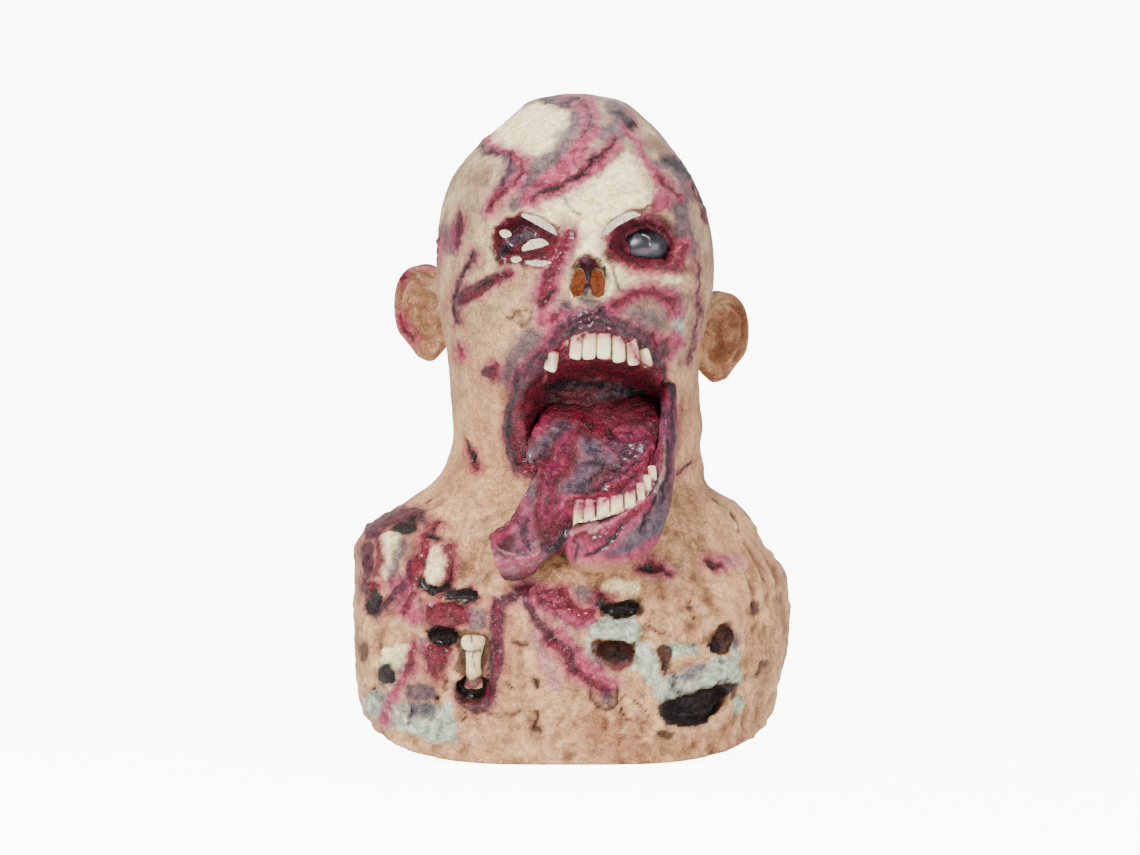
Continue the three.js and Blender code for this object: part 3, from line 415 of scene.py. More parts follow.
# The wounds and the paint, on the photograph's pixels. A stroke has a route, and a patch an outline. wide is
# a stroke's half width and soft how far the edge fades, in pixels. raise is how far the latex stands out
# there, in millimetres, and wet how glossy it is. A stroke gives its paint, wide, soft, raise, wet and route,
# and a patch its paint, soft, raise, wet and outline.
HEAD_STROKES = {
    "shade on the bare forehead": ("slate", 9, 14, 0, 0, [(578, 111), (571, 129), (556, 152), (539, 168),
        (526, 185)]),
    "band over the forehead": ("pink", 10, 8, 0.5, 0.2, [(587, 106), (589, 133), (578, 152), (563, 168),
        (545, 185), (530, 197)]),
    "edge of the left flap": ("pink", 5, 6, 0.7, 0.2, [(484, 137), (491, 146), (515, 155), (526, 162),
        (521, 176), (510, 189), (495, 200), (489, 213)]),
    "lip of the left flap": ("crimson", 1.2, 2, 0.8, 0.5, [(513, 153), (526, 161), (521, 175), (512, 186),
        (500, 198)]),
    "grey of the left flap": ("slate", 7, 7, 0, 0, [(504, 155), (513, 164), (508, 177), (502, 190)]),
    "grey above the left eye": ("slate", 6, 6, 0, 0, [(512, 205), (521, 199)]),
    "blood on the left flap": ("crimson", 3, 4, 0.3, 0.5, [(504, 190), (493, 204), (489, 212)]),
    "ink of the left flap": ("ink", 1, 2, -0.3, 0.4, [(482, 145), (486, 153), (500, 152), (512, 157),
        (509, 172), (502, 186)]),
    "blood along the crack": ("crimson", 3, 5, 0.5, 0.5, [(614, 142), (606, 153), (587, 167), (570, 181),
        (534, 198)]),
    "pink along the crack": ("pink", 7, 7, 0.3, 0.2, [(616, 146), (596, 164), (570, 184), (536, 201)]),
    "crack in the forehead": ("ink", 1.1, 1.2, -1.2, 0.4, [(616, 138), (608, 150), (596, 157), (587, 168),
        (576, 177), (563, 185), (548, 192), (534, 198)]),
    "ink on the crown": ("ink", 1, 1.5, -0.5, 0.4, [(542, 99), (548, 103), (558, 105), (567, 103),
        (574, 99), (582, 97)]),
    "grey on the crown": ("slate", 4, 4, 0, 0, [(547, 99), (563, 99)]),
    "blood on the crown": ("crimson", 1.6, 3, 0.3, 0.5, [(566, 101), (573, 97), (586, 96)]),
    "ink beside the band": ("ink", 0.7, 1.2, -0.3, 0.2, [(584, 103), (589, 112), (590, 122), (580, 135)]),
    "grey on the right forehead": ("slate", 9, 9, 0, 0, [(614, 107), (622, 118), (619, 131), (606, 134)]),
    "ink on the right forehead": ("ink", 2.4, 4, -0.3, 0.3, [(617, 112), (624, 120), (633, 123)]),
    "blood on the right forehead": ("crimson", 2.4, 4, 0.4, 0.5, [(628, 121), (635, 124)]),
    "pink down the right forehead": ("pink", 3.4, 4, 0.4, 0.2, [(626, 131), (637, 140), (639, 153),
        (646, 166), (659, 177), (669, 187), (678, 197)]),
    "blood above the right temple": ("crimson", 2.2, 3, 0.7, 0.6, [(654, 175), (665, 185), (678, 197)]),
    "grey on the right temple": ("slate", 7, 8, 0, 0, [(655, 166), (672, 163), (684, 178), (689, 196),
        (681, 203)]),
    "ink on the right temple": ("ink", 1.6, 3, -0.4, 0.3, [(663, 159), (673, 162), (681, 167),
        (687, 177)]),
    "pink by the right brow": ("pink", 6, 5, 0.3, 0.2, [(659, 193), (657, 205), (667, 203), (669, 195)]),
    "scratch on the right edge": ("plum", 2.4, 4, -0.3, 0.2, [(694, 185), (702, 203), (706, 220)]),
    "grey beside the right eye": ("slate", 8, 9, 0, 0, [(680, 207), (685, 226), (690, 250)]),
    "scratches on the left temple": ("plum", 4, 5, -0.3, 0.3, [(460, 214), (458, 229), (456, 245)]),
    "blood on the left temple": ("crimson", 1.6, 3, -0.4, 0.4, [(461, 218), (457, 230), (456, 242)]),
    "scratch on the left edge": ("crimson", 2, 3, -0.4, 0.4, [(438, 240), (437, 257)]),
    "grey on the left temple": ("slate", 9, 10, 0, 0, [(447, 232), (451, 246)]),
    "scratch above the left cheek": ("plum", 3.4, 4, -0.3, 0.3, [(476, 254), (467, 266), (462, 274)]),
    "ink above the left cheek": ("ink", 1, 1.5, -0.5, 0.4, [(473, 255), (466, 266), (462, 275)]),
    "halo of the cheek gash": ("plum", 8, 8, 0.2, 0.2, [(461, 299), (478, 287), (504, 276)]),
    "cheek gash": ("crimson", 4.6, 4, -1, 0.7, [(467, 296), (480, 287), (505, 275)]),
    "depth of the cheek gash": ("dark", 1.4, 2, -1.2, 0.7, [(474, 288), (487, 281)]),
    "fork of the cheek gash": ("crimson", 2.2, 3, -0.6, 0.5, [(462, 301), (472, 296), (488, 291)]),
    "pink beside the nose": ("pink", 10, 8, 0, 0.2, [(568, 236), (560, 256), (551, 277), (544, 296)]),
    "streak beside the nose": ("crimson", 5.5, 4, 0.9, 0.7, [(569, 234), (560, 256), (550, 277), (545, 291),
        (543, 303)]),
    "ink beside the nose": ("ink", 1.2, 1.5, -0.8, 0.4, [(552, 292), (546, 299), (541, 305)]),
    "grey between nose and lip": ("slate", 8, 7, 0.6, 0.1, [(586, 300), (596, 309), (607, 313)]),
    "lilac above the left lip": ("slate", 6, 7, 0, 0.2, [(563, 305), (567, 313), (580, 316)]),
    "ink under the nose": ("ink", 1, 1.2, -0.6, 0.4, [(565, 322), (578, 320), (593, 315), (602, 310)]),
    "pink above the left lip": ("pink", 9, 9, 0, 0.1, [(548, 346), (557, 330), (560, 316), (543, 318)]),
    "blood above the left lip": ("crimson", 2, 4, 0.2, 0.4, [(551, 321), (556, 312)]),
    "upper lip": ("plum", 6, 5, 1.8, 0.7, [(563, 338), (570, 331), (582, 325), (597, 322), (615, 328),
        (633, 338), (648, 345), (656, 359), (662, 378)]),
    "ink of the upper lip": ("ink", 1.6, 2.4, -0.7, 0.6, [(567, 333), (582, 323), (597, 320), (617, 328),
        (635, 340), (650, 349), (657, 362)]),
    "pink of the upper lip": ("pink", 2.2, 2.4, 1.2, 0.6, [(572, 341), (580, 332), (594, 327), (610, 331),
        (634, 347)]),
    "pink under the right eye": ("pink", 9, 9, 0.3, 0.2, [(613, 308), (625, 298), (641, 289), (656, 288),
        (669, 298), (674, 310)]),
    "ridge of the right cheek": ("crimson", 3.6, 4, 1.4, 0.6, [(615, 306), (629, 295), (641, 288),
        (656, 288), (668, 298), (672, 305)]),
    "bruise on the right cheek": ("slate", 11, 18, 1.4, 0.1, [(637, 318), (652, 322)]),
    "pink by the molar": ("pink", 9, 8, 0, 0.2, [(652, 341), (668, 350), (674, 342)]),
    "sore on the right cheek": ("brown", 5, 5, -1.3, 0.5, [(664, 345), (666, 351)]),
    "blood by the molar": ("crimson", 3, 4, 0.3, 0.5, [(650, 338), (656, 344)]),
    "mould on the right cheek": ("mint", 5, 9, 0, 0, [(679, 314), (678, 330)]),
    "line down the right side": ("plum", 1.8, 5, -0.3, 0.2, [(697, 262), (700, 304), (695, 341),
        (687, 361)]),
    "ink down the right side": ("ink", 0.6, 1.4, -0.3, 0.2, [(694, 330), (690, 346), (687, 358)]),
    "spot by the right eye": ("crimson", 3, 4, 0.2, 0.4, [(684, 246), (681, 260)]),
    "line down the left side": ("ink", 1, 1.4, -0.5, 0.3, [(458, 289), (453, 304), (455, 314),
        (459, 323)]),
    "halo down the left side": ("plum", 4, 6, 0, 0.1, [(460, 281), (454, 304), (459, 322)]),
    "spot under the left cheek": ("crimson", 2.6, 5, -0.2, 0.3, [(462, 350), (462, 359)]),
    "halo of the jaw hole": ("plum", 6, 5, 0.2, 0.2, [(488, 372), (493, 373)]),
    "hole in the left jaw": ("crimson", 3.6, 2.4, -1.8, 0.8, [(494, 367), (495, 377)]),
    "lilac of the left jaw": ("slate", 13, 14, 0, 0, [(531, 340), (517, 357), (512, 372)]),
    "left corner of the mouth": ("plum", 8, 7, 1, 0.6, [(543, 354), (531, 369), (521, 380), (515, 396),
        (511, 415), (511, 433), (515, 452), (520, 468)]),
    "ink of the left corner": ("ink", 2, 4, 0.8, 0.8, [(520, 377), (516, 396), (511, 414), (512, 433),
        (516, 452), (520, 466)]),
    "inside of the left corner": ("pink", 3.4, 3, 0.6, 0.7, [(546, 391), (532, 405), (521, 425),
        (520, 452)]),
    "pink of the canine": ("pink", 6, 5, 1.2, 0.6, [(553, 345), (545, 355), (541, 368)]),
    "right corner of the mouth": ("plum", 5, 5, 1.4, 0.6, [(650, 352), (657, 372), (667, 390), (670, 412),
        (669, 432), (667, 452), (663, 472)]),
    "blood of the right corner": ("crimson", 4.6, 4, 1, 0.7, [(652, 365), (660, 384), (664, 393)]),
    "ink of the right corner": ("ink", 1.6, 2, -0.6, 0.6, [(659, 366), (668, 388), (671, 410), (669, 440),
        (665, 468)]),
    "gash in the neck": ("crimson", 2.4, 2.4, -0.6, 0.6, [(470, 449), (475, 458), (477, 469)]),
    "depth of the neck gash": ("dark", 1.4, 1.4, -1.6, 0.5, [(467, 441), (472, 451), (476, 462)]),
    "scratch in the neck": ("plum", 1.6, 3, -0.5, 0.3, [(691, 459), (684, 467), (677, 475)]),
    "lid above the dead eye": ("crimson", 4.4, 3, 2, 0.8, [(636, 219), (650, 222), (664, 233), (671, 247),
        (674, 264)]),
    "pink round the dead eye": ("pink", 5, 4, 0.8, 0.6, [(606, 240), (616, 232), (628, 222), (640, 218)]),
    "flesh under the dead eye": ("crimson", 6, 4, 1.6, 0.9, [(614, 254), (628, 262), (648, 267),
        (668, 266)]),
    "veins under the dead eye": ("plum", 3, 3, 0.8, 0.8, [(630, 261), (645, 264), (658, 262)]),
    "brow crease": ("brown", 1.6, 4, -0.8, 0, [(606, 232), (613, 222), (626, 214), (642, 211),
        (653, 204)]),
    "crease of the frown": ("brown", 1.4, 4, -0.7, 0, [(566, 197), (571, 206), (578, 213)]),
    "edge of the left brow": ("brown", 1.2, 2.4, 0.6, 0, [(521, 211), (538, 217), (552, 226), (562, 233)]),
    "diamond on the cheek": ("brown", 0.7, 1.8, -0.6, 0, [(508, 318), (518, 308), (531, 313), (524, 329),
        (509, 319)]),
    "crack in the diamond": ("ink", 0.5, 1.4, -0.4, 0, [(516, 311), (521, 318), (519, 325)]),
    "side of the nose": ("brown", 1.6, 4, -0.6, 0, [(608, 250), (613, 268), (618, 285)]),
}
HEAD_PATCHES = {
    "bare forehead": ("bone", 7, -0.9, 0, [(541, 101), (519, 109), (500, 122), (489, 134), (490, 145),
        (504, 149), (522, 152), (534, 158), (544, 153), (557, 146), (568, 133), (572, 118), (562, 106)]),
    "bare skull": ("bone", 2.4, -0.9, 0, [(626, 152), (635, 159), (643, 168), (657, 184), (659, 193),
        (650, 203), (640, 211), (626, 213), (613, 222), (604, 233), (606, 247), (614, 264), (627, 275),
        (652, 277), (678, 272), (682, 277), (676, 283), (652, 286), (627, 288), (615, 284), (610, 296),
        (590, 301), (570, 298), (570, 275), (577, 259), (575, 246), (563, 233), (555, 226), (542, 215),
        (530, 211), (525, 205), (541, 198), (559, 189), (578, 181), (596, 172), (611, 163)]),
    "left socket": ("maroon", 3, 0, 0.9, [(522, 213), (508, 218), (493, 231), (489, 248), (498, 262),
        (522, 266), (545, 266), (556, 250), (559, 236), (548, 225), (534, 215)]),
    "right socket": ("crimson", 3, 0, 0.9, [(608, 240), (616, 228), (634, 217), (650, 220), (666, 233),
        (675, 252), (677, 266), (654, 269), (630, 266), (614, 256)]),
    "nose hollow": ("maroon", 2.4, 0, 0.6, [(573, 292), (576, 273), (582, 258), (588, 252), (594, 258),
        (600, 272), (604, 291), (598, 296), (589, 288), (580, 296)]),
    "upper lip": ("plum", 8, 0.8, 0.6, [(556, 320), (576, 314), (600, 312), (638, 324), (658, 345),
        (668, 372), (659, 382), (645, 354), (620, 338), (590, 330), (572, 336), (556, 348), (546, 350)]),
    "left lip": ("plum", 6, 0.8, 0.7, [(541, 352), (527, 362), (513, 382), (506, 405), (505, 430),
        (510, 455), (519, 476), (526, 478), (521, 455), (519, 430), (523, 405), (533, 385), (547, 368)]),
    "inside of the left lip": ("crimson", 6, 0, 1, [(541, 370), (528, 386), (518, 408), (515, 435),
        (519, 470), (540, 480), (540, 420), (552, 396)]),
    "gum over the teeth": ("crimson", 4, 0, 0.9, [(552, 350), (560, 342), (574, 335), (592, 331),
        (610, 338), (604, 362), (570, 364)]),
    "palate": ("crimson", 8, 0, 1, [(552, 352), (575, 362), (610, 366), (645, 362), (655, 376), (640, 386),
        (600, 380), (565, 382), (546, 376)]),
    "roof of the mouth": ("maroon", 3, 0, 0.9, [(548, 372), (552, 350), (570, 360), (583, 361), (615, 360),
        (640, 364), (652, 378), (668, 396), (672, 440), (660, 480), (590, 500), (530, 480), (520, 440),
        (530, 405), (546, 390)]),
}
SOCKET_STROKES = {
    "grey in the left socket": ("ash", 3.6, 6, 1.2, 1, [(500, 251), (510, 244), (526, 235), (540, 238)]),
    "black in the left socket": ("ink", 4, 5, -0.6, 1, [(497, 254), (505, 250)]),
    "blood in the left socket": ("crimson", 3, 4, 1.2, 1, [(540, 231), (551, 240), (550, 254)]),
    "clot in the left socket": ("crimson", 3, 3, 1, 1, [(507, 226), (516, 230)]),
    "edge of the nose hollow": ("ink", 0.8, 1.4, 0, 0.5, [(572, 292), (575, 268), (583, 255), (590, 253),
        (598, 258), (606, 280)]),
    "septum": ("ash", 1.4, 2, 2, 0.6, [(587, 262), (588, 280), (587, 293)]),
    # Painted shade: black deep in the throat.
    "painted shade deep in the throat": ("ink", 4, 6, 0, 0.9, [(546, 388), (575, 384), (610, 386), (642, 396)]),
    "grey ridge of the throat": ("ash", 3, 7, 1, 1, [(600, 396), (622, 394), (640, 400)]),
    "throat": ("maroon", 9, 6, 0, 0.9, [(552, 394), (590, 396), (633, 402), (655, 402)]),
    "blood in the throat": ("crimson", 4, 4, 0, 0.9, [(556, 380), (580, 374), (610, 374), (640, 382)]),
}
CHEST_STROKES = {
    "notch below the neck": ("brown", 2, 2, -0.8, 0, [(427, 504), (430, 501)]),
    "ring of the shoulder gash": ("plum", 7, 7, 0.6, 0.3, [(369, 533), (376, 524), (390, 518), (411, 513),
        (423, 517)]),
    "blood beside rib one": ("crimson", 4, 4, 0.9, 0.7, [(378, 540), (381, 556), (377, 573)]),
    "grey beside rib one": ("slate", 4.4, 5, 0, 0.2, [(402, 543), (398, 556), (393, 572)]),
    "left edge of the wounds": ("plum", 5, 6, 0, 0.3, [(367, 545), (368, 565), (365, 583), (372, 604),
        (378, 616)]),
    "clots below rib one": ("crimson", 3, 4, 0.8, 0.7, [(366, 585), (378, 587), (371, 594)]),
    "band between the ribs": ("plum", 4.4, 5, 0.4, 0.4, [(417, 557), (411, 576), (399, 590), (390, 601),
        (381, 613)]),
    "blood between the ribs": ("crimson", 2.4, 3, 0.8, 0.7, [(410, 578), (415, 590), (407, 606)]),
    "pink below the ribs": ("pink", 8, 8, 0, 0.3, [(397, 583), (404, 600), (414, 616)]),
    "blood left of rib two": ("crimson", 4.4, 4, 1, 0.8, [(437, 523), (428, 532), (426, 545), (419, 558),
        (416, 572), (418, 584)]),
    "pit above rib two": ("dark", 3, 3, -1.6, 0.4, [(434, 536), (439, 540)]),
    "blood right of rib two": ("crimson", 4, 3, 1.2, 0.8, [(447, 549), (450, 567), (445, 584)]),
    "pit below rib two": ("dark", 4.4, 3, -1.6, 0.6, [(424, 583), (435, 591), (446, 587)]),
    "blood in the pocket": ("crimson", 3, 3, 0.6, 0.9, [(467, 591), (472, 598)]),
    "lip of the pocket": ("bone", 0.9, 1.2, 0.7, 0.3, [(442, 598), (456, 604), (476, 601)]),
    "blood left of the flap": ("crimson", 2.4, 3, 0.4, 0.6, [(413, 592), (410, 607), (402, 614)]),
    "line beside the bone": ("plum", 8, 7, 0.5, 0.3, [(499, 603), (497, 626), (496, 651), (495, 676),
        (487, 701), (478, 708)]),
    "blood beside the bone": ("crimson", 1.8, 3, 0.5, 0.6, [(499, 606), (496, 640), (497, 672),
        (488, 698)]),
    "ink beside the bone": ("ink", 0.8, 1.2, -0.5, 0.4, [(487, 641), (489, 662), (485, 690)]),
    "rim of the bone hole": ("plum", 3, 4, 0.6, 0.5, [(455, 688), (460, 701), (472, 706), (486, 700),
        (489, 684)]),
    "start of the centre wound": ("plum", 6, 5, 0.4, 0.4, [(499, 603), (509, 598), (519, 592),
        (530, 590)]),
    "specks beside the lump": ("crimson", 3, 4, 0.4, 0.6, [(413, 647), (411, 661), (405, 674)]),
    "pink below the lump": ("pink", 5, 6, 0, 0.3, [(408, 668), (399, 686), (388, 703), (386, 720)]),
    "grey below the gap": ("slate", 5, 5, 0, 0.2, [(423, 643), (426, 654)]),
    "patch on the left side": ("brown", 4.4, 5, -0.6, 0, [(363, 645), (363, 660)]),
    "grey pit": ("slate", 8, 5, -1.4, 0.3, [(413, 692), (426, 693)]),
    "speck by the grey pit": ("dark", 2, 2, -1, 0.2, [(435, 696), (436, 699)]),
    "speck by the bone hole": ("brown", 2.4, 2, -1.4, 0, [(445, 681), (444, 688)]),
    "grey in the stain": ("slate", 8, 9, 0, 0, [(415, 708), (428, 712)]),
    "first crack in the stain": ("ink", 0.6, 1, -0.6, 0, [(372, 688), (375, 699)]),
    "second crack in the stain": ("ink", 0.6, 1, -0.6, 0, [(379, 645), (381, 657)]),
    "third crack in the stain": ("ink", 0.7, 1.2, -0.6, 0, [(412, 704), (408, 724)]),
    "first mark in the middle": ("brown", 3, 3, -0.9, 0, [(515, 640), (524, 643)]),
    "second mark in the middle": ("brown", 2, 2, -0.9, 0, [(509, 684), (513, 687)]),
    "third mark in the middle": ("brown", 2.2, 2, -1.2, 0, [(533, 678), (537, 685)]),
    "fourth mark in the middle": ("brown", 2, 2, -1.4, 0, [(538, 714), (536, 728), (542, 734)]),
    "crease below the bone": ("brown", 0.8, 1.6, -0.8, 0, [(466, 704), (467, 714), (463, 722)]),
    "crease at the bottom": ("brown", 1.6, 5, -0.5, 0, [(474, 711), (500, 714), (519, 711)]),
    "centre wound": ("crimson", 4.6, 4, 1.2, 0.8, [(527, 590), (541, 592), (555, 594), (566, 602),
        (575, 611), (588, 615)]),
    "lower centre wound": ("crimson", 3.4, 4, 0.9, 0.8, [(541, 600), (551, 608), (562, 607)]),
    "pink of the centre wound": ("pink", 10, 7, 0, 0.3, [(530, 594), (548, 603), (566, 612), (580, 620)]),
    "band below the centre": ("plum", 5, 5, 0.4, 0.3, [(527, 604), (536, 618), (546, 632), (556, 644)]),
    "diagonal wound": ("crimson", 4, 4, 1.2, 0.8, [(547, 638), (556, 645), (566, 656), (573, 669),
        (584, 680), (600, 685)]),
    "ink of the diagonal": ("ink", 0.9, 1.4, -0.7, 0.5, [(549, 635), (562, 641), (570, 652), (572, 664),
        (580, 675)]),
    "pink of the diagonal": ("pink", 9, 7, 0, 0.3, [(560, 636), (574, 655), (588, 672), (606, 683)]),
    "lilac beside the diagonal": ("blush", 9, 12, 0, 0, [(537, 640), (547, 661), (556, 680)]),
    "lilac in the wound": ("slate", 4, 6, 0, 0.2, [(556, 612), (568, 624)]),
    "rim of the middle window": ("pink", 4.4, 5, 0.8, 0.5, [(590, 666), (603, 679), (617, 682)]),
    "blood above the gash": ("crimson", 4, 4, 0.6, 0.7, [(560, 590), (570, 603), (580, 614), (591, 612)]),
    "grey above the gash": ("slate", 8, 6, 0.5, 0.1, [(582, 592), (597, 600)]),
    "pale skin above the gash": ("bone", 6, 7, 0.9, 0.1, [(608, 585), (633, 588)]),
    "pink above the gash": ("crimson", 4, 5, 0.2, 0.6, [(600, 595), (609, 603)]),
    "brown end of the gash": ("brown", 4, 4, 0, 0.3, [(640, 600), (640, 611)]),
    "mint below the middle rib": ("mint", 3.4, 4, 0.4, 0.2, [(589, 640), (588, 656), (598, 668)]),
    "mint beside the window": ("mint", 3.4, 4, 0.6, 0.2, [(637, 640), (638, 655), (633, 668)]),
    "inside of the middle window": ("crimson", 2, 2, 0.9, 0.9, [(617, 649), (626, 655), (620, 661)]),
    "fold": ("brown", 1.8, 3, -1, 0.1, [(590, 686), (592, 702), (605, 711), (617, 704), (619, 688)]),
    "grey of the fold": ("slate", 7, 6, 0.8, 0.1, [(604, 688), (605, 698)]),
    "pale skin by the window": ("mint", 9, 12, 0, 0, [(644, 650), (652, 676)]),
    "pale skin by the teardrop": ("mint", 7, 10, 0, 0, [(672, 650), (692, 650)]),
    "smudge on the long rib": ("slate", 5, 6, 0, 0.1, [(684, 677), (697, 670), (702, 667)]),
    "crack in the long rib": ("ink", 0.7, 1, -0.8, 0, [(671, 669), (673, 679), (670, 685), (677, 692)]),
    "grey by the shoulder hole": ("slate", 5, 5, 0, 0.1, [(733, 634), (735, 645)]),
    "mint right of the window": ("mint", 4.4, 5, 0.8, 0.1, [(731, 645), (735, 660), (741, 682)]),
    "top edge of the long window": ("brown", 1.6, 2, 0, 0.2, [(666, 700), (712, 687), (736, 682)]),
    "brown end of the long window": ("brown", 5, 5, -0.8, 0.1, [(735, 686), (733, 697)]),
    "pale skin below the window": ("mint", 5, 7, 0, 0, [(742, 700), (736, 710)]),
    "halo of the triangle": ("pink", 5, 5, 0, 0.2, [(648, 564), (660, 570), (668, 572)]),
    "halo of the red hole": ("blush", 8, 9, 0, 0.1, [(722, 561), (734, 562)]),
    "red hole": ("crimson", 5, 3, -1.6, 0.8, [(708, 561), (718, 564)]),
    "depth of the red hole": ("dark", 2.4, 2.4, -1.2, 0.6, [(711, 563), (715, 565)]),
    "first arm of the cross": ("brown", 0.9, 1.6, -1, 0, [(684, 605), (691, 608), (698, 607)]),
    "second arm of the cross": ("brown", 0.9, 1.6, -1, 0, [(690, 601), (690, 609), (694, 617)]),
    "first patch on the right": ("brown", 4, 4, -0.9, 0, [(755, 604), (755, 612)]),
    "second patch on the right": ("brown", 4, 4, -0.9, 0, [(766, 663), (759, 675)]),
    "patch at the bottom": ("brown", 4, 4, -0.6, 0, [(661, 734), (668, 736)]),
    "shoulder crease": ("brown", 1, 3, -1.6, 0, [(713, 499), (722, 505), (731, 515), (739, 531)]),
    "light of the shoulder crease": ("bone", 1, 3, 0.6, 0, [(718, 501), (729, 514), (736, 528)]),
    "wrinkle over the long rib": ("brown", 0.7, 2, -0.8, 0, [(645, 622), (661, 633), (680, 641), (694, 644),
        (709, 642)]),
    "wrinkle under the fold": ("brown", 0.7, 1.6, -0.8, 0, [(626, 695), (622, 714), (634, 720),
        (646, 725)]),
    "wrinkle by the long window": ("brown", 0.7, 1.6, -0.8, 0, [(634, 700), (644, 708), (648, 718)]),
}
CHEST_PATCHES = {
    "shoulder gash": ("dark", 2.4, -1.6, 1, [(391, 529), (399, 522), (415, 518), (418, 529), (408, 536)]),
    "rib one": ("bone", 2.4, 1.6, 0.2, [(382, 533), (401, 534), (400, 549), (394, 567), (386, 580),
        (376, 571), (379, 549)]),
    "rib two": ("bone", 2.4, 1.6, 0.2, [(428, 551), (447, 544), (452, 561), (447, 579), (440, 586),
        (426, 581), (423, 567)]),
    "shoulder pit": ("dark", 3, -1.6, 0.7, [(366, 597), (374, 593), (381, 600), (378, 612), (370, 615),
        (364, 608)]),
    "torn pocket": ("dark", 1.6, -1.6, 0.6, [(443, 595), (453, 589), (468, 588), (476, 598), (466, 603),
        (452, 601)]),
    "raw flap": ("crimson", 2, 1.8, 1, [(425, 606), (439, 600), (464, 606), (467, 619), (454, 629),
        (433, 626), (423, 619)]),
    "grey by the flap": ("slate", 4, 0.6, 0.1, [(465, 606), (484, 610), (488, 626), (472, 630),
        (461, 622)]),
    "dark gap": ("dark", 2, -1.8, 0.6, [(423, 629), (432, 643), (447, 645), (459, 636), (448, 630),
        (436, 627)]),
    "bone bed": ("brown", 3, -1, 0.3, [(458, 634), (470, 628), (486, 632), (488, 652), (482, 678),
        (466, 680), (455, 668)]),
    "crimson lump": ("crimson", 2.4, 2.4, 1, [(428, 651), (440, 643), (451, 650), (448, 669), (436, 678),
        (427, 669)]),
    "bone hole": ("dark", 2, -2, 0.8, [(456, 688), (461, 679), (472, 676), (483, 680), (486, 688),
        (482, 697), (470, 701), (460, 697)]),
    "pale lump": ("bone", 3, 1.2, 0.1, [(379, 651), (394, 645), (408, 647), (408, 661), (399, 676),
        (388, 690), (376, 681)]),
    "side pit": ("dark", 4, -1.4, 0.3, [(380, 664), (390, 662), (396, 672), (392, 683), (381, 686),
        (376, 676)]),
    "cream stain": ("mint", 6, 0, 0.1, [(370, 688), (386, 694), (411, 703), (440, 706), (453, 702),
        (459, 744), (433, 742), (399, 731), (376, 719), (362, 706)]),
    "cream of the stain": ("bone", 6, 0, 0.1, [(380, 704), (404, 712), (440, 716), (455, 740), (433, 740),
        (399, 729)]),
    "middle gash": ("dark", 2, -1.8, 1, [(593, 604), (604, 613), (621, 618), (636, 612), (641, 603),
        (629, 600), (614, 605), (603, 600)]),
    "middle rib": ("mint", 2, 1.6, 0.5, [(591, 624), (605, 615), (635, 617), (641, 633), (631, 641),
        (594, 638)]),
    "middle window": ("brown", 1.4, -1.8, 0.4, [(590, 642), (606, 640), (621, 642), (634, 642), (636, 649),
        (631, 663), (614, 666), (596, 657), (589, 649)]),
    "depth of the middle window": ("maroon", 3, -0.4, 0.4, [(593, 647), (606, 646), (632, 647), (628, 661),
        (614, 663), (598, 655)]),
    "teardrop": ("brown", 1.4, -1.8, 0.1, [(656, 652), (664, 646), (672, 651), (669, 661), (667, 673),
        (663, 671), (659, 660)]),
    "long rib": ("mint", 3, 1.4, 0.2, [(649, 685), (671, 673), (689, 668), (712, 659), (731, 654),
        (741, 669), (739, 681), (721, 684), (699, 690), (676, 697), (660, 705), (652, 697)]),
    "shoulder hole": ("brown", 1.6, -1.8, 0.2, [(705, 645), (712, 638), (717, 627), (731, 621), (733, 633),
        (728, 646), (721, 655), (713, 651)]),
    "depth of the shoulder hole": ("dark", 3, -0.4, 0.2, [(709, 645), (714, 637), (719, 636), (722, 648),
        (717, 652)]),
    "long window": ("dark", 1.4, -1.8, 0.2, [(661, 705), (667, 700), (685, 696), (712, 687), (730, 682),
        (737, 685), (731, 692), (718, 701), (710, 719), (696, 724), (667, 725), (663, 715)]),
    "triangle gash": ("crimson", 1.6, -1.4, 0.8, [(638, 570), (653, 560), (668, 571), (653, 574)]),
    "depth of the triangle": ("dark", 2, -0.6, 0.6, [(641, 569), (650, 564), (656, 570), (650, 572)]),
}
# The back doesn't show in the photograph. Its wounds are of the same kinds and fewer, on the same pixels.
BACK_STROKES = {
    "scrape down the nape": ("plum", 5, 6, 0.4, 0.3, [(590, 330), (584, 362), (590, 396), (580, 420)]),
    "blood down the nape": ("crimson", 2, 3, 0.6, 0.6, [(589, 336), (585, 362), (589, 392)]),
    "crack over the back of the head": ("ink", 1, 1.6, -0.9, 0.4, [(540, 140), (556, 158), (572, 166),
        (592, 186), (612, 192), (628, 214)]),
    "pink of the back crack": ("pink", 7, 7, 0.4, 0.2, [(540, 142), (560, 162), (592, 186), (626, 212)]),
    "shade on the back of the head": ("slate", 12, 12, 0, 0, [(520, 200), (540, 240), (536, 270)]),
    "shade on the back": ("slate", 12, 12, 0, 0, [(470, 560), (520, 590), (560, 580)]),
    "wound on the back": ("crimson", 4, 4, 0.9, 0.7, [(640, 560), (660, 580), (684, 588), (700, 612)]),
    "halo of the back wound": ("plum", 9, 8, 0.4, 0.3, [(638, 556), (660, 578), (686, 590), (702, 616)]),
    "first sore on the back": ("brown", 5, 4, -1, 0, [(450, 650), (456, 660)]),
    "second sore on the back": ("brown", 4, 4, -1, 0, [(560, 690), (572, 694)]),
    "crease across the back": ("brown", 1, 3, -0.8, 0, [(470, 520), (520, 532), (580, 530), (640, 520)]),
}


def as_patches(table):
    """The rows of a table of patches, as (layer, wide, soft, raise, wet, outline, closed)."""
    return [(layer, 0, soft, lift, wet, outline, True) for layer, soft, lift, wet, outline in table.values()]


def as_strokes(table):
    """The rows of a table of strokes, in the same form."""
    return [(*row, False) for row in table.values()]


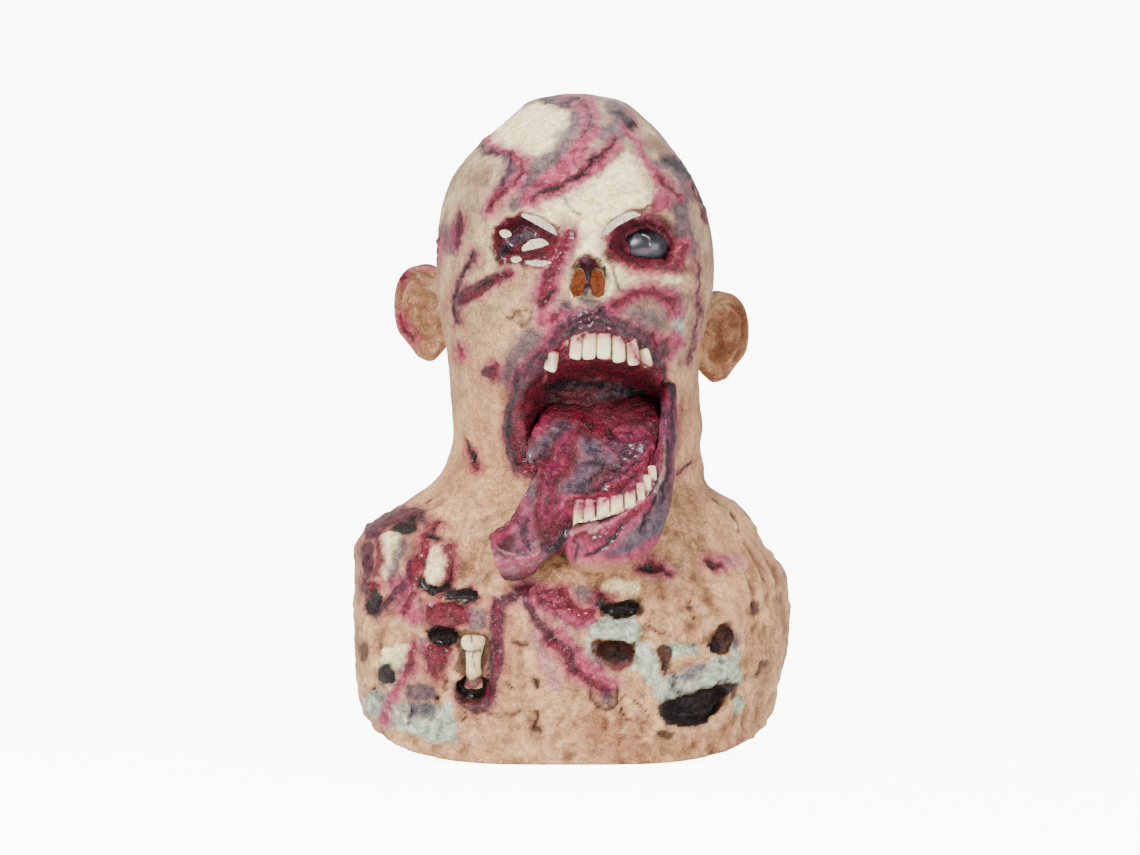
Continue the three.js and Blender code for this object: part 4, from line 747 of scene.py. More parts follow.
def route_distance(columns, rows, route, closed):
    """Distances in pixels to a route, and below 0 inside a closed one."""
    ends = np.array(route, float)
    starts = np.roll(ends, 1, 0) if closed else ends[:-1]
    ends = ends if closed else ends[1:]
    nearest = np.full(columns.shape, np.inf)
    inside = np.zeros(columns.shape, bool)
    for (x0, y0), (x1, y1) in zip(starts, ends):
        length = (x1 - x0) ** 2 + (y1 - y0) ** 2
        t = np.clip(((columns - x0) * (x1 - x0) + (rows - y0) * (y1 - y0)) / length, 0, 1)
        nearest = np.minimum(nearest, np.hypot(columns - x0 - t * (x1 - x0), rows - y0 - t * (y1 - y0)))
        if closed and y0 != y1:
            crossed = (rows > min(y0, y1)) & (rows <= max(y0, y1))
            inside ^= crossed & (columns < x0 + (rows - y0) / (y1 - y0) * (x1 - x0))
    return np.where(inside, -nearest, nearest)


def noise_at(points, size, seed):
    """Smooth noise from -1 to 1 at each point, in lumps of about the size given."""
    flat = points.reshape(-1, 3) / size
    values = [noise.noise(Vector((x + seed, y, z))) for x, y, z in flat]
    return np.array(values).reshape(points.shape[:-1])


# The paints in the order in which they go on.
PAINTS = (
    "bone", "mint", "blush", "slate", "pink", "plum", "maroon", "crimson", "ash", "brown", "dark", "ink",
)
FRAY = ((0.014, 4.4), (0.0045, 2.4))  # the noise that frays edges: its size in metres and reach in pixels
# What is airbrushed round a paint: with which one, how far in pixels, and how strong.
HALOS = {
    "crimson": ("pink", 11, 0.8), "plum": ("pink", 9, 0.55), "maroon": ("crimson", 5, 0.7),
    "pink": ("blush", 12, 0.7), "ink": ("plum", 6, 0.6), "dark": ("brown", 6, 0.7),
    "slate": ("blush", 8, 0.4), "brown": ("brown", 6, 0.3),
}


def paint_masks(points, marks, shown):
    """Each paint's strength, the lift in metres and the wetness that the marks give at points."""
    columns, rows = mask_to_pixel(points)
    for i, (size, strength) in enumerate(FRAY):
        columns = columns + strength * noise_at(points, size, 10 + i)
        rows = rows + strength * noise_at(points, size, 20 + i)
    masks = {name: np.zeros(len(points)) for name in PAINTS}
    lift = np.zeros(len(points))
    wet = np.zeros(len(points))
    for layer, wide, soft, lifted, gloss, route, closed in marks:
        halo, far, strength = HALOS.get(layer, (layer, 0, 0))
        reach = wide + soft + far
        (left, top), (right, bottom) = np.min(route, 0) - reach, np.max(route, 0) + reach
        near = (columns > left) & (columns < right) & (rows > top) & (rows < bottom) & (shown > 0)
        chosen = np.flatnonzero(near)
        distance = route_distance(columns[chosen], rows[chosen], route, closed)
        mask = smooth(0.5 - (distance - wide) / soft) * shown[chosen]
        masks[layer][chosen] = np.maximum(masks[layer][chosen], mask)
        ring = smooth(1 - (distance - wide) / max(far, 1)) * strength * shown[chosen]
        masks[halo][chosen] = np.maximum(masks[halo][chosen], ring)
        wet[chosen] = np.maximum(wet[chosen], mask * gloss)
        lift[chosen] += mask * lifted * 1e-3
    return masks, lift, wet


FRONT_MARKS = [
    *as_patches(HEAD_PATCHES), *as_strokes(HEAD_STROKES), *as_strokes(SOCKET_STROKES),
    *as_patches(CHEST_PATCHES), *as_strokes(CHEST_STROKES),
]
BACK_MARKS = as_strokes(BACK_STROKES)
# Marks fade where the skin turns away, over FACING_FADE, and those of the front also fade on the sides, over
# SIDE_FADE in front of SIDE_END.
FRONT_FACING, BACK_FACING, FACING_FADE = 0.45, 0.1, 0.35
SIDE_END, SIDE_FADE = 0.034, 0.03
grid_shape = outer.shape[:2]
outer_normals = surface_normals(outer)
flat_outer = outer.reshape(-1, 3)
front_half = smooth((SIDE_END - flat_outer[:, 1]) / SIDE_FADE)
turned_back = outer_normals[..., 1].ravel()
front_shown = smooth((FRONT_FACING - turned_back) / FACING_FADE) * front_half
back_shown = smooth((turned_back - BACK_FACING) / FACING_FADE)
front_masks, front_lift, front_wet = paint_masks(flat_outer, FRONT_MARKS, front_shown)
back_masks, back_lift, back_wet = paint_masks(flat_outer, BACK_MARKS, back_shown)
masks = {name: np.maximum(front_masks[name], back_masks[name]) for name in PAINTS}
wet = np.maximum(front_wet, back_wet)

# The latex is lumpy all over, most of all on the raw flesh and the chest, and creased like old hide.
LUMPS = 0.0006
FLESH_LUMPS = 0.0014
HIDE_LUMPS = 0.0016
LUMP_SIZES = (0.016, 0.005, 0.0026)
HIDE_TOP, HIDE_FADE = 0.2, 0.06
broad, fine, finest = [noise_at(flat_outer, size, seed) for seed, size in enumerate(LUMP_SIZES, 1)]
raw = np.maximum.reduce([masks["crimson"], 0.7 * masks["plum"], 0.6 * masks["pink"], 0.3 * masks["maroon"]])
hide = smooth((HIDE_TOP - flat_outer[:, 2]) / HIDE_FADE) * (1 - np.maximum(masks["bone"], masks["dark"]))
warp = np.stack([noise_at(flat_outer, 0.03, seed) for seed in (5, 6, 7)], -1) * 0.016
long_folds = (flat_outer + warp) * (1, 1, 0.5)
ridges = 1 - 2.4 * np.abs(noise_at(long_folds, 0.017, 4)) - 0.9 * np.abs(noise_at(long_folds, 0.007, 8))
bare = 1 - 0.75 * masks["bone"]
lift = (
    front_lift + back_lift + LUMPS * (broad + 0.6 * fine) * bare
    + FLESH_LUMPS * raw * (fine + finest) + HIDE_LUMPS * hide * (ridges - 0.4 + 0.5 * fine)
)
# The crown's tip and the rim's edge stay where they are.
TIP_FADE, RIM_FADE = 0.01, 0.004
free = smooth((MASK_HEIGHT - flat_outer[:, 2]) / TIP_FADE) * smooth(flat_outer[:, 2] / RIM_FADE)
skin_face = outer + outer_normals * (lift * free).reshape(*grid_shape, 1)


def over_neighbours(values, reach, combine):
    """Each value combined with its neighbours' in rows and then in columns, which close into a ring."""
    steps = range(2 * reach + 1)
    padded = np.pad(values, ((reach, reach), (0, 0)), mode="edge")
    values = combine([padded[i:i + len(values)] for i in steps])
    ring = np.pad(values[:, :-1], ((0, 0), (reach, reach)), mode="wrap")
    values = combine([ring[:, i:i + values.shape[1] - 1] for i in steps])
    return np.concatenate([values, values[:, :1]], 1)


def blurred(values, reach):
    """A grid of values, each the mean of its neighbours to the reach given in rows and columns."""
    return over_neighbours(values, reach, lambda stack: sum(stack) / len(stack))


# How far a point lies below its surroundings, as a share of CAVITY_DEPTH.
CAVITY_DEPTH, CAVITY_REACH = 0.0016, 5
forms = relief(flat_outer[:, 0] - SHIFT[0], flat_outer[:, 2]).reshape(grid_shape)
height = lift.reshape(grid_shape) + forms * smooth((np.cos(angle_grid) - FORMS_START) / FORMS_FADE)
cavity = np.clip((blurred(height, CAVITY_REACH) - height) / CAVITY_DEPTH, -1, 1).ravel()

# The hollow follows the outer face a wall's width in, without its small marks.
INNER_STEP = 5  # it has every fifth row of the outer face, without the last few
INNER_TOP_ROWS = 6
INNER_WALL, CROWN_WALL = 1.1 * WALL, 1.2 * WALL
SUNK_REACH, SUNK_BLUR = 7, 3
plain_rows = skin_points(angle_grid, level_grid, with_forms=False) + SHIFT
plain = surface_normals(plain_rows)
sunk = over_neighbours(-height, SUNK_REACH, lambda stack: np.maximum.reduce(stack))
inner = plain_rows - plain * (INNER_WALL + blurred(sunk, SUNK_BLUR))[..., None]
inner[0] = plain_rows[0] - plain[0] * WALL
inner[0, :, 2] = skin_face[0, :, 2]
inner = inner[:-INNER_TOP_ROWS][::INNER_STEP]
inner_top = [*inner[-1].mean(0)[:2], MASK_HEIGHT - CROWN_WALL]
outer_top = [*skin_face[-1].mean(0)[:2], MASK_HEIGHT]
shell = np.concatenate([inner[::-1], skin_face])
skin = rolled_grid("skin", closed_rows(shell, inner_top, outer_top))


EAR_HEIGHT, EAR_WIDTH, EAR_THICKNESS = 0.068, 0.045, 0.006
EAR_SPLAY = math.radians(40)
EAR_ROOT = 0.3  # how far out the ear's middle is, as a share of its width


def ear(name, side, level, back, height, roll):
    """A cast ear: its rim, its inner fold, its bowl and its lobe, with the root left inside the head."""
    root = skin_points(np.array([side * math.pi / 2]), np.array([level]))[0]
    root[2] = level * MASK_HEIGHT
    at = section(level * MASK_HEIGHT)
    root[0] = at[1] if side > 0 else at[0]
    root[1] = (at[2] + at[3]) / 2 + back * HEAD_DEPTH
    outward = Vector((side * math.cos(EAR_SPLAY), math.sin(EAR_SPLAY), 0))
    up = Vector((0, 0, 1))
    facing = outward.cross(up) * side
    tilt = math.radians(roll)
    turned = [axis.copy() for axis in (outward, up)]
    for axis in turned:
        axis.rotate(Matrix.Rotation(tilt, 3, facing))
    outward, up, facing = [np.array(axis) for axis in (*turned, facing)]
    centre = root + outward * EAR_WIDTH * EAR_ROOT + SHIFT
    front_reach = np.concatenate([np.linspace(0.02, 0.86, 22), np.linspace(0.9, 1, 5)])
    back_reach = np.array([1.0, 0.97, 0.9, 0.75, 0.5, 0.3])
    turns = np.linspace(0, 2 * math.pi, 73)
    reach, turn = np.meshgrid(front_reach, turns, indexing="ij")
    across, rise = np.cos(turn), np.sin(turn)

    def places(reach, face):
        narrow = 1 + 0.2 * rise[:1] - 0.12 * across[:1] * rise[:1]
        a = (EAR_WIDTH / 2 * narrow * across[:1] * reach)[..., None]
        b = (EAR_HEIGHT * height / 2 * rise[:1] * reach)[..., None]
        return centre + a * outward + b * up + (face * EAR_THICKNESS)[..., None] * facing

    # a and b run from -1 to 1 across and up the ear, and each form is in shares of the thickness.
    a, b = reach * across, reach * rise
    rim_there = smooth((a + 0.75) / 0.5) * smooth((b + 0.75) / 0.5)
    rim = 1.25 * np.exp(-(((reach - 0.9) / 0.09) ** 2)) * rim_there
    fold_at = 0.6 + 0.06 * b
    fold_there = smooth((a + 0.25) / 0.5) * smooth((b + 0.95) / 0.5)
    fold = np.exp(-(((reach - fold_at) / 0.1) ** 2)) * fold_there
    bowl = -1.5 * smooth((0.5 - np.hypot(a + 0.12, (b + 0.08) * 0.85)) / 0.24)
    tragus = 1.2 * np.exp(-(((a + 0.52) / 0.16) ** 2) - ((b + 0.12) / 0.17) ** 2)
    lobe = 0.8 * np.exp(-(((a - 0.02) / 0.42) ** 2) - ((b + 0.82) / 0.24) ** 2)
    face = 0.35 + rim + fold + bowl + tragus + lobe - 0.9 * smooth((reach - 0.95) / 0.05)
    face -= 0.5 * smooth((-across - 0.3) / 0.6) * reach
    front = places(reach, face)
    behind = places(back_reach[:, None], -0.3 - 1.2 * (1 - back_reach[:, None]) + 0 * across[:1])
    return rolled_grid(name, closed_rows(np.concatenate([front, behind])))


# Each ear's side, level, how far back it is, height and turn.
EARS = {"left ear": (-1, 0.672, 0.02, 1, 7), "right ear": (1, 0.634, 0.03, 0.94, -4)}
EAR_MARKS = as_strokes({
    "blood at the top of the left ear": ("crimson", 3, 4, 0, 0.5, [(400, 280), (404, 266), (416, 259),
        (430, 262)]),
    "blood low on the left ear": ("crimson", 3, 4, 0, 0.5, [(399, 316), (405, 330), (412, 338)]),
})


def pick(piece):
    """Makes a piece the one that operators act on."""
    bpy.ops.object.select_all(action="DESELECT")
    piece.select_set(True)
    bpy.context.view_layer.objects.active = piece


def cut_by(piece, cutter, operation="DIFFERENCE"):
    """Cuts a piece by a closed one, or joins them, and keeps the cutter."""
    modifier = piece.modifiers.new("cut", "BOOLEAN")
    modifier.operation = operation
    modifier.solver = "MANIFOLD"
    modifier.object = cutter
    pick(piece)
    bpy.ops.object.modifier_apply(modifier="cut")


def drop(piece):
    """Removes a helper piece and its mesh."""
    bpy.data.meshes.remove(piece.data)


# The ears' roots end inside the wall, so a smaller copy of the head takes what would reach into the hollow.
PLUG_LEVELS = (0.5, 0.85)
PLUG_WALL = 0.6
plug_rows = (plain_rows - plain * PLUG_WALL * WALL)[slice(*np.searchsorted(LEVELS, PLUG_LEVELS))]
plug = rolled_grid("plug", closed_rows(plug_rows))
for name, row in EARS.items():
    made = ear(name, *row)
    cut_by(made, plug)
    cut_by(skin, made, "UNION")
    drop(made)
drop(plug)

# Sight slits in the sockets and the nostrils, cut with ragged crescents. x, z and the half sizes are shares
# as for the forms, and bend is a share of the half width.
HOLE_COLUMNS = ("x", "z", "wide", "high", "turn", "bend")
HOLES = {
    "left brow slit": (-0.115, 0.79, 0.072, 0.014, -30, 0.16),
    "left corner slit": (-0.236, 0.779, 0.022, 0.015, -12, 0),
    "left middle slit": (-0.13, 0.759, 0.048, 0.017, 12, 0.22),
    "left low slit": (-0.197, 0.74, 0.02, 0.014, 0, 0),
    "left bottom slit": (-0.118, 0.736, 0.046, 0.012, -2, -0.12),
    "right brow slit": (0.178, 0.791, 0.078, 0.015, 31, 0.26),
    "left nostril": (0.021, 0.705, 0.024, 0.052, -10, 0),
    "right nostril": (0.09, 0.705, 0.025, 0.052, 8, 0),
}
HOLE_DEPTH, HOLE_SIDES, HOLE_RAGGED = 0.05, 28, 0.16
for name, row in HOLES.items():
    hole = dict(zip(HOLE_COLUMNS, row))
    bpy.ops.object.select_all(action="DESELECT")
    bpy.ops.mesh.primitive_cylinder_add(vertices=HOLE_SIDES, radius=1, depth=HOLE_DEPTH)
    cutter = bpy.context.object
    half, tall, turn = hole["wide"] * HEAD_WIDTH, hole["high"] * HEAD_WIDTH, math.radians(hole["turn"])
    x, y, z = front_place(hole)
    for vertex in cutter.data.vertices:
        across, rise, deep = vertex.co
        ragged = 1 + HOLE_RAGGED * noise.noise(Vector((across * 2, rise * 2, 7 * hole["x"])))
        u = half * across * ragged
        v = tall * rise * ragged + hole["bend"] * half * (1 - across * across)
        vertex.co = (
            x + u * math.cos(turn) - v * math.sin(turn) + SHIFT[0], y + deep + SHIFT[1],
            z + u * math.sin(turn) + v * math.cos(turn),
        )
    face_outward()
    cut_by(skin, cutter)
    drop(cutter)


def put_attribute(piece, name, values):
    """A value for each vertex, which the piece's material reads."""
    layer = piece.data.attributes.new(name, "FLOAT", "POINT")
    layer.data.foreach_set("value", np.asarray(values, np.float32))


def nearest_rows(points, targets):
    """The nearest target to each point, by its row, and how far it is."""
    tree = kdtree.KDTree(len(targets))
    for i, place in enumerate(targets):
        tree.insert(place, i)
    tree.balance()
    found = [tree.find(place)[1:] for place in points]
    return np.array([row for row, _ in found]), np.array([far for _, far in found])


# Every vertex of the cut skin takes its paints from the nearest place on the outer face. What is far from it
# belongs to an ear, or to the hollow where that is nearer.
EAR_CLEAR = 0.0015
points = mesh_points(skin)
outer_row, outer_far = nearest_rows(points, skin_face.reshape(-1, 3))
_, inner_far = nearest_rows(points, inner.reshape(-1, 3))
is_inside = (inner_far < outer_far) & (outer_far > 0.4 * WALL)
is_ear = (outer_far > EAR_CLEAR) & ~is_inside
ear_masks, _, ear_wet = paint_masks(points, EAR_MARKS, is_ear.astype(float))
on_skin = ~is_inside & ~is_ear
for name in PAINTS:
    put_attribute(skin, name, np.where(on_skin, masks[name][outer_row], ear_masks[name]))
put_attribute(skin, "wet", np.where(on_skin, wet[outer_row], ear_wet))
put_attribute(skin, "cavity", np.where(on_skin, cavity[outer_row], 0))
put_attribute(skin, "inside", is_inside)
put_attribute(skin, "ear", is_ear)


def new_group(name, inputs, outputs):
    """A shader node group with named sockets. inputs and outputs are pairs of a name and a kind."""
    group = bpy.data.node_groups.new(name, "ShaderNodeTree")
    for sockets, way in ((inputs, "INPUT"), (outputs, "OUTPUT")):
        for socket, kind in sockets:
            group.interface.new_socket(name=socket, in_out=way, socket_type="NodeSocket" + kind)
    return group, group.nodes.new("NodeGroupInput"), group.nodes.new("NodeGroupOutput")


def number(tree, operation, *values):
    """The result of a sum on numbers or sockets."""
    return add_node(tree, "ShaderNodeMath", enumerate(values), operation=operation).outputs[0]


def mixed(tree, factor, first, second):
    """Two colours mixed by a factor."""
    links = [(0, factor), (6, first), (7, second)]
    return add_node(tree, "ShaderNodeMix", links, data_type="RGBA").outputs[2]


def grain(tree, place, scale, detail=3, roughness=0.55):
    """Noise at a scale in lumps to the metre."""
    links = [("Vector", place), ("Scale", scale), ("Detail", detail), ("Roughness", roughness)]
    return add_node(tree, "ShaderNodeTexNoise", links).outputs["Fac"]


def ramp(tree, value, low, high, to_low=0.0, to_high=1.0):
    """A value moved from one range to another."""
    links = [("Value", value), ("From Min", low), ("From Max", high), ("To Min", to_low), ("To Max", to_high)]
    return add_node(tree, "ShaderNodeMapRange", links).outputs[0]


# One coat of paint, sponged on with a ragged edge, in two shades that run into each other.
coat_group, given, result = new_group(
    "sponged coat",
    [("Under", "Color"), ("Shade one", "Color"), ("Shade two", "Color"), ("Mask", "Float"), ("Fray", "Float"),
     ("Grain", "Float"), ("Cover", "Float"), ("Soft", "Float")],
    [("Colour", "Color")],
)
place = piece_place(coat_group)
sponge = grain(coat_group, place, given.outputs["Grain"], 4, 0.65)
frayed = number(coat_group, "MULTIPLY", number(coat_group, "SUBTRACT", sponge, 0.5), given.outputs["Fray"])
touched = number(coat_group, "MULTIPLY", given.outputs["Mask"], 6)
shielded = number(coat_group, "MULTIPLY", number(coat_group, "MINIMUM", touched, 1), frayed)
edge_ends = [number(coat_group, operation, 0.5, given.outputs["Soft"]) for operation in ("SUBTRACT", "ADD")]
edge = ramp(coat_group, number(coat_group, "ADD", given.outputs["Mask"], shielded), *edge_ends)
cover = number(coat_group, "MULTIPLY", edge, given.outputs["Cover"])
shade = ramp(coat_group, grain(coat_group, place, 170, 3), 0.35, 0.65)
colour = mixed(coat_group, shade, given.outputs["Shade one"], given.outputs["Shade two"])
coat_group.links.new(mixed(coat_group, cover, given.outputs["Under"], colour), result.inputs["Colour"])

# The grain of cast latex: pores, fine creases and a slight orange peel, as one height.
grain_group, given, result = new_group("latex grain", [("Creases", "Float")], [("Height", "Float")])
place = piece_place(grain_group)
wander = number(grain_group, "SUBTRACT", grain(grain_group, place, 110, 6, 0.62), 0.5)
creases = ramp(grain_group, number(grain_group, "ABSOLUTE", wander), 0, 0.035)
peel = grain(grain_group, place, 700, 4)
lumps = grain(grain_group, place, 190, 3)
total = number(grain_group, "ADD", number(grain_group, "MULTIPLY", creases, given.outputs["Creases"]), peel)
grain_group.links.new(number(grain_group, "ADD", total, lumps), result.inputs["Height"])


# The paints, from the first coat to the last: two shades, how frayed the edge is, its grain, its cover, and
# how far it fades.
PAINT_POTS = {
    "bone": ((255, 249, 218), (242, 226, 184), 0.3, 200, 0.97, 0.4),
    "mint": ((214, 222, 206), (160, 174, 164), 0.6, 240, 0.9, 0.4),
    "blush": ((206, 160, 164), (176, 140, 152), 0.5, 200, 0.75, 0.5),
    "slate": ((138, 127, 137), (100, 91, 104), 0.8, 260, 0.8, 0.45),
    "pink": ((202, 102, 142), (166, 70, 112), 0.7, 300, 0.85, 0.48),
    "plum": ((124, 58, 94), (84, 42, 72), 0.8, 340, 0.9, 0.42),
    "maroon": ((84, 22, 44), (62, 20, 38), 0.35, 300, 0.97, 0.4),
    "crimson": ((160, 34, 86), (116, 22, 58), 0.55, 340, 0.92, 0.42),
    "ash": ((132, 124, 136), (88, 82, 96), 0.7, 280, 0.85, 0.45),
    "brown": ((130, 92, 68), (96, 68, 52), 0.35, 420, 0.85, 0.4),
    "dark": ((88, 70, 68), (58, 45, 48), 0.4, 300, 0.97, 0.3),
    "ink": ((34, 26, 40), (60, 40, 58), 0.9, 700, 0.9, 0.35),
}


def attribute(tree, name):
    """A value of the piece's vertices."""
    return add_node(tree, "ShaderNodeAttribute", attribute_name=name).outputs["Fac"]


def painted(tree, under, paints):
    """Coats of the paints named over a colour, each where its attribute is."""
    for name in paints:
        shade_one, shade_two, fray, size, cover, soft = PAINT_POTS[name]
        values = {
            "Under": under, "Shade one": paint(*shade_one), "Shade two": paint(*shade_two),
            "Mask": attribute(tree, name), "Fray": fray, "Grain": size, "Cover": cover, "Soft": soft,
        }
        coat = add_node(tree, "ShaderNodeGroup", values.items(), node_tree=coat_group)
        under = coat.outputs["Colour"]
    return under


def finish_flesh(tree, shader, colour, creases, roughness, bump_height):
    """Links a painted colour, a wet gloss and the latex grain to a shader."""
    tree.links.new(colour, shader.inputs["Base Color"])
    wet = attribute(tree, "wet")
    place = piece_place(tree)
    patchy = number(tree, "MULTIPLY", wet, ramp(tree, grain(tree, place, 700, 2), 0.42, 0.62, 0.1, 1))
    tree.links.new(ramp(tree, patchy, 0, 1, roughness, 0.2), shader.inputs["Roughness"])
    tree.links.new(number(tree, "MULTIPLY", patchy, 0.5), shader.inputs["Coat Weight"])
    shader.inputs["Specular IOR Level"].default_value = 0.3
    shader.inputs["Coat Roughness"].default_value = 0.16
    latex = add_node(tree, "ShaderNodeGroup", [("Creases", creases)], node_tree=grain_group)
    clots = number(tree, "MULTIPLY", number(tree, "MULTIPLY", grain(tree, place, 950, 2), wet), 1.2)
    bump = add_node(
        tree, "ShaderNodeBump",
        [("Height", number(tree, "ADD", latex.outputs["Height"], clots)), ("Strength", 1),
         ("Distance", bump_height)],
    )
    tree.links.new(bump.outputs["Normal"], shader.inputs["Normal"])


skin_material, tree, shader = new_material("painted latex")
place = piece_place(tree)
clouds = ramp(tree, grain(tree, place, 28, 4), 0.35, 0.65)
flesh = mixed(tree, clouds, paint(226, 194, 160), paint(196, 160, 130))
pale_clouds = ramp(tree, grain(tree, place, 45, 4), 0.38, 0.62)
pallor = mixed(tree, pale_clouds, paint(214, 200, 170), paint(170, 150, 134))
height_up = add_node(tree, "ShaderNodeSeparateXYZ", [("Vector", place)]).outputs["Z"]
cloudy_height = number(tree, "ADD", height_up, ramp(tree, grain(tree, place, 22, 3), 0, 1, -0.07, 0.07))
head_share = ramp(tree, cloudy_height, 0.24, 0.36)
flesh = mixed(tree, number(tree, "MULTIPLY", head_share, 0.85), flesh, pallor)
# Brown and pink mottles and dark specks: the noise's scale, detail and roughness, where it begins to show and
# where it is full, how strong it is, and its colour.
MOTTLES = [
    (80, 5, 0.7, 0.5, 0.7, 0.45, (156, 122, 94)),
    (60, 4, 0.7, 0.6, 0.75, 0.35, (196, 128, 124)),
    (800, 3, 0.6, 0.58, 0.72, 0.5, (130, 106, 84)),
]
for scale, detail, roughness, low, high, strong, colour in MOTTLES:
    mottle = ramp(tree, grain(tree, place, scale, detail, roughness), low, high, 0, strong)
    flesh = mixed(tree, mottle, flesh, paint(*colour))
# A brown wash with painted shade in the hollows, and a pale dry-brush with painted highlight on what stands
# proud.
hollow = ramp(tree, attribute(tree, "cavity"), 0.1, 1, 0, 0.5)
proud = ramp(tree, attribute(tree, "cavity"), -0.8, -0.1, 0.3, 0)
flesh = mixed(tree, hollow, flesh, paint(132, 98, 78))
flesh = mixed(tree, proud, flesh, paint(240, 214, 184))
ear_patches = ramp(tree, grain(tree, place, 90, 3), 0.35, 0.65, 0.2, 0.75)
ear_shade = number(tree, "MULTIPLY", attribute(tree, "ear"), ear_patches)
flesh = mixed(tree, ear_shade, flesh, paint(170, 124, 94))
flesh = painted(tree, flesh, PAINTS)
# Painted shade: the hollows darkened again over the paints.
flesh = mixed(tree, number(tree, "MULTIPLY", hollow, 0.5), flesh, paint(58, 28, 30))
AMBER_TOP, PALE_FROM = 0.3378, 0.3392  # the inside is amber bare latex behind the nose, and painted near white behind the eyes as painted brightness
# Painted brightness: the inside is near white above the nose, so the sight slits look bright, and amber below
# it.
painted_brightness_share = ramp(tree, height_up, AMBER_TOP, PALE_FROM)
bare_latex_and_painted_brightness = mixed(tree, painted_brightness_share, paint(170, 118, 72), paint(252, 248, 238))
flesh = mixed(tree, attribute(tree, "inside"), flesh, bare_latex_and_painted_brightness)
finish_flesh(tree, shader, flesh, 0.45, 0.52, 0.0011)


def finish_piece(piece, material, node):
    """Gives a piece its only material, smooth shading and its place in the frame."""
    piece.data.materials.clear()
    piece.data.materials.append(material)
    piece.data.polygons.foreach_set("material_index", np.zeros(len(piece.data.polygons), np.int32))
    pick(piece)
    bpy.ops.object.shade_smooth()
    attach(piece, "root")
    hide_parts(node)


finish_piece(skin, skin_material, "mask_skin")

# A small lamp inside the head, so the sight slits and nostrils show the bare latex behind them.
LAMP_AT, LAMP_POWER, LAMP_RADIUS = (0, 0.03, 0.34), 0.4, 0.03
bpy.ops.object.light_add(type="POINT", location=LAMP_AT)
bpy.context.object.data.energy = LAMP_POWER
bpy.context.object.data.shadow_soft_size = LAMP_RADIUS


# What the glued pieces share: the block of the head that each is cut back to, a smooth centre line through a
# table of places, and the marks, lumps and paint of a piece made from rows of points.
GLUE_GAP = 0.00025
BLOCK_LEVELS = (0.04, 0.86)
BLOCK_TURN = math.radians(76)
BLOCK_BACK = 0.03
block_rows = slice(*np.searchsorted(LEVELS, BLOCK_LEVELS))
block_columns = slice(*np.searchsorted(ANGLES, (-BLOCK_TURN, BLOCK_TURN)))
block_face = (skin_face + outer_normals * GLUE_GAP)[block_rows, block_columns]
block_middle = block_face[:, :1] * (0, 0, 1) + (0, BLOCK_BACK, 0)
face_block = rolled_grid(
    "face block", closed_rows(np.concatenate([block_face, block_middle, block_face[:, :1]], 1))
)


def centre_line(table, names, count):
    """Points and directions along a smooth line through a table of places, with its other columns' values."""
    columns = dict(zip(names, np.array(table, float).T))
    places = np.arange(len(table))
    at = np.linspace(0, len(table) - 1, count)
    heights = columns["z"] * MASK_HEIGHT
    front = curve_through(section_table["at"], section_table["front"], heights)
    ahead = front - columns["proud"] * HEAD_DEPTH
    corners = np.stack([columns["x"] * HEAD_WIDTH, ahead, heights], -1) + SHIFT
    points = np.stack([curve_through(places, corners[:, i], at) for i in range(3)], -1)
    along = np.gradient(points, axis=0)
    along /= np.linalg.norm(along, axis=1, keepdims=True)
    values = {name: curve_through(places, columns[name], at) for name in names[3:]}
    return points, along, values


def unit(vectors):
    """Vectors a metre long in the same directions."""
    return vectors / np.linalg.norm(vectors, axis=-1, keepdims=True)


def layers_of(marks):
    """The paints of some marks and of their halos, in the order in which they go on."""
    used = {mark[0] for mark in marks}
    used |= {HALOS[layer][0] for layer in used if layer in HALOS}
    return [layer for layer in PAINTS if layer in used]


def rounded_end(at, end, reach):
    """A share that falls from 1 to 0 as at comes to the end, like the side of a ball."""
    return np.sqrt(np.clip(1 - np.clip(1 - np.abs(end - at) / reach, 0, 1) ** 2, 0.0004, 1))


HOLLOW_DEPTH, HOLLOW_REACH = 0.0008, 3


def glued_piece(name, rows, marks, rough, cutters):
    """A closed piece from rows of points, with its lumps and marks, cut back to what it lies on."""
    normals = surface_normals(rows)
    outward = ((rows - rows[:, :-1].mean(1, keepdims=True)) * normals).sum()
    normals = normals * math.copysign(1, outward)
    shown = smooth((FRONT_FACING - normals[..., 1].ravel()) / FACING_FADE)
    masks, raised, wet = paint_masks(rows.reshape(-1, 3), marks, shown)
    lift = raised.reshape(rows.shape[:2])
    for seed, (size, rise) in enumerate(rough):
        lift = lift + rise * noise_at(rows, size, 30 + seed)
    face = rows + normals * lift[..., None]
    piece = rolled_grid(name, closed_rows(face))
    for cutter in cutters:
        cut_by(piece, cutter)
    hollows = np.clip((blurred(lift, HOLLOW_REACH) - lift) / HOLLOW_DEPTH, -1, 1).ravel()
    row, _ = nearest_rows(mesh_points(piece), face.reshape(-1, 3))
    for layer in layers_of(marks):
        put_attribute(piece, layer, masks[layer][row])
    put_attribute(piece, "wet", wet[row])
    put_attribute(piece, "cavity", hollows[row])
    return piece


def flesh_material(name, shades, marks, deep, roughness):
    """Painted latex in two clouded shades, with the marks' paints and a darker wash with painted shade in the
    hollows.
    """
    material, tree, shader = new_material(name)
    place = piece_place(tree)
    colour = mixed(tree, ramp(tree, grain(tree, place, 75, 4), 0.35, 0.65), *shades)
    colour = painted(tree, colour, layers_of(marks))
    # A darker wash with painted shade in the hollows.
    colour = mixed(tree, ramp(tree, attribute(tree, "cavity"), 0.1, 0.8, 0, 0.6), colour, deep)
    finish_flesh(tree, shader, colour, 0.4, roughness, 0.0007)
    return material, tree, shader


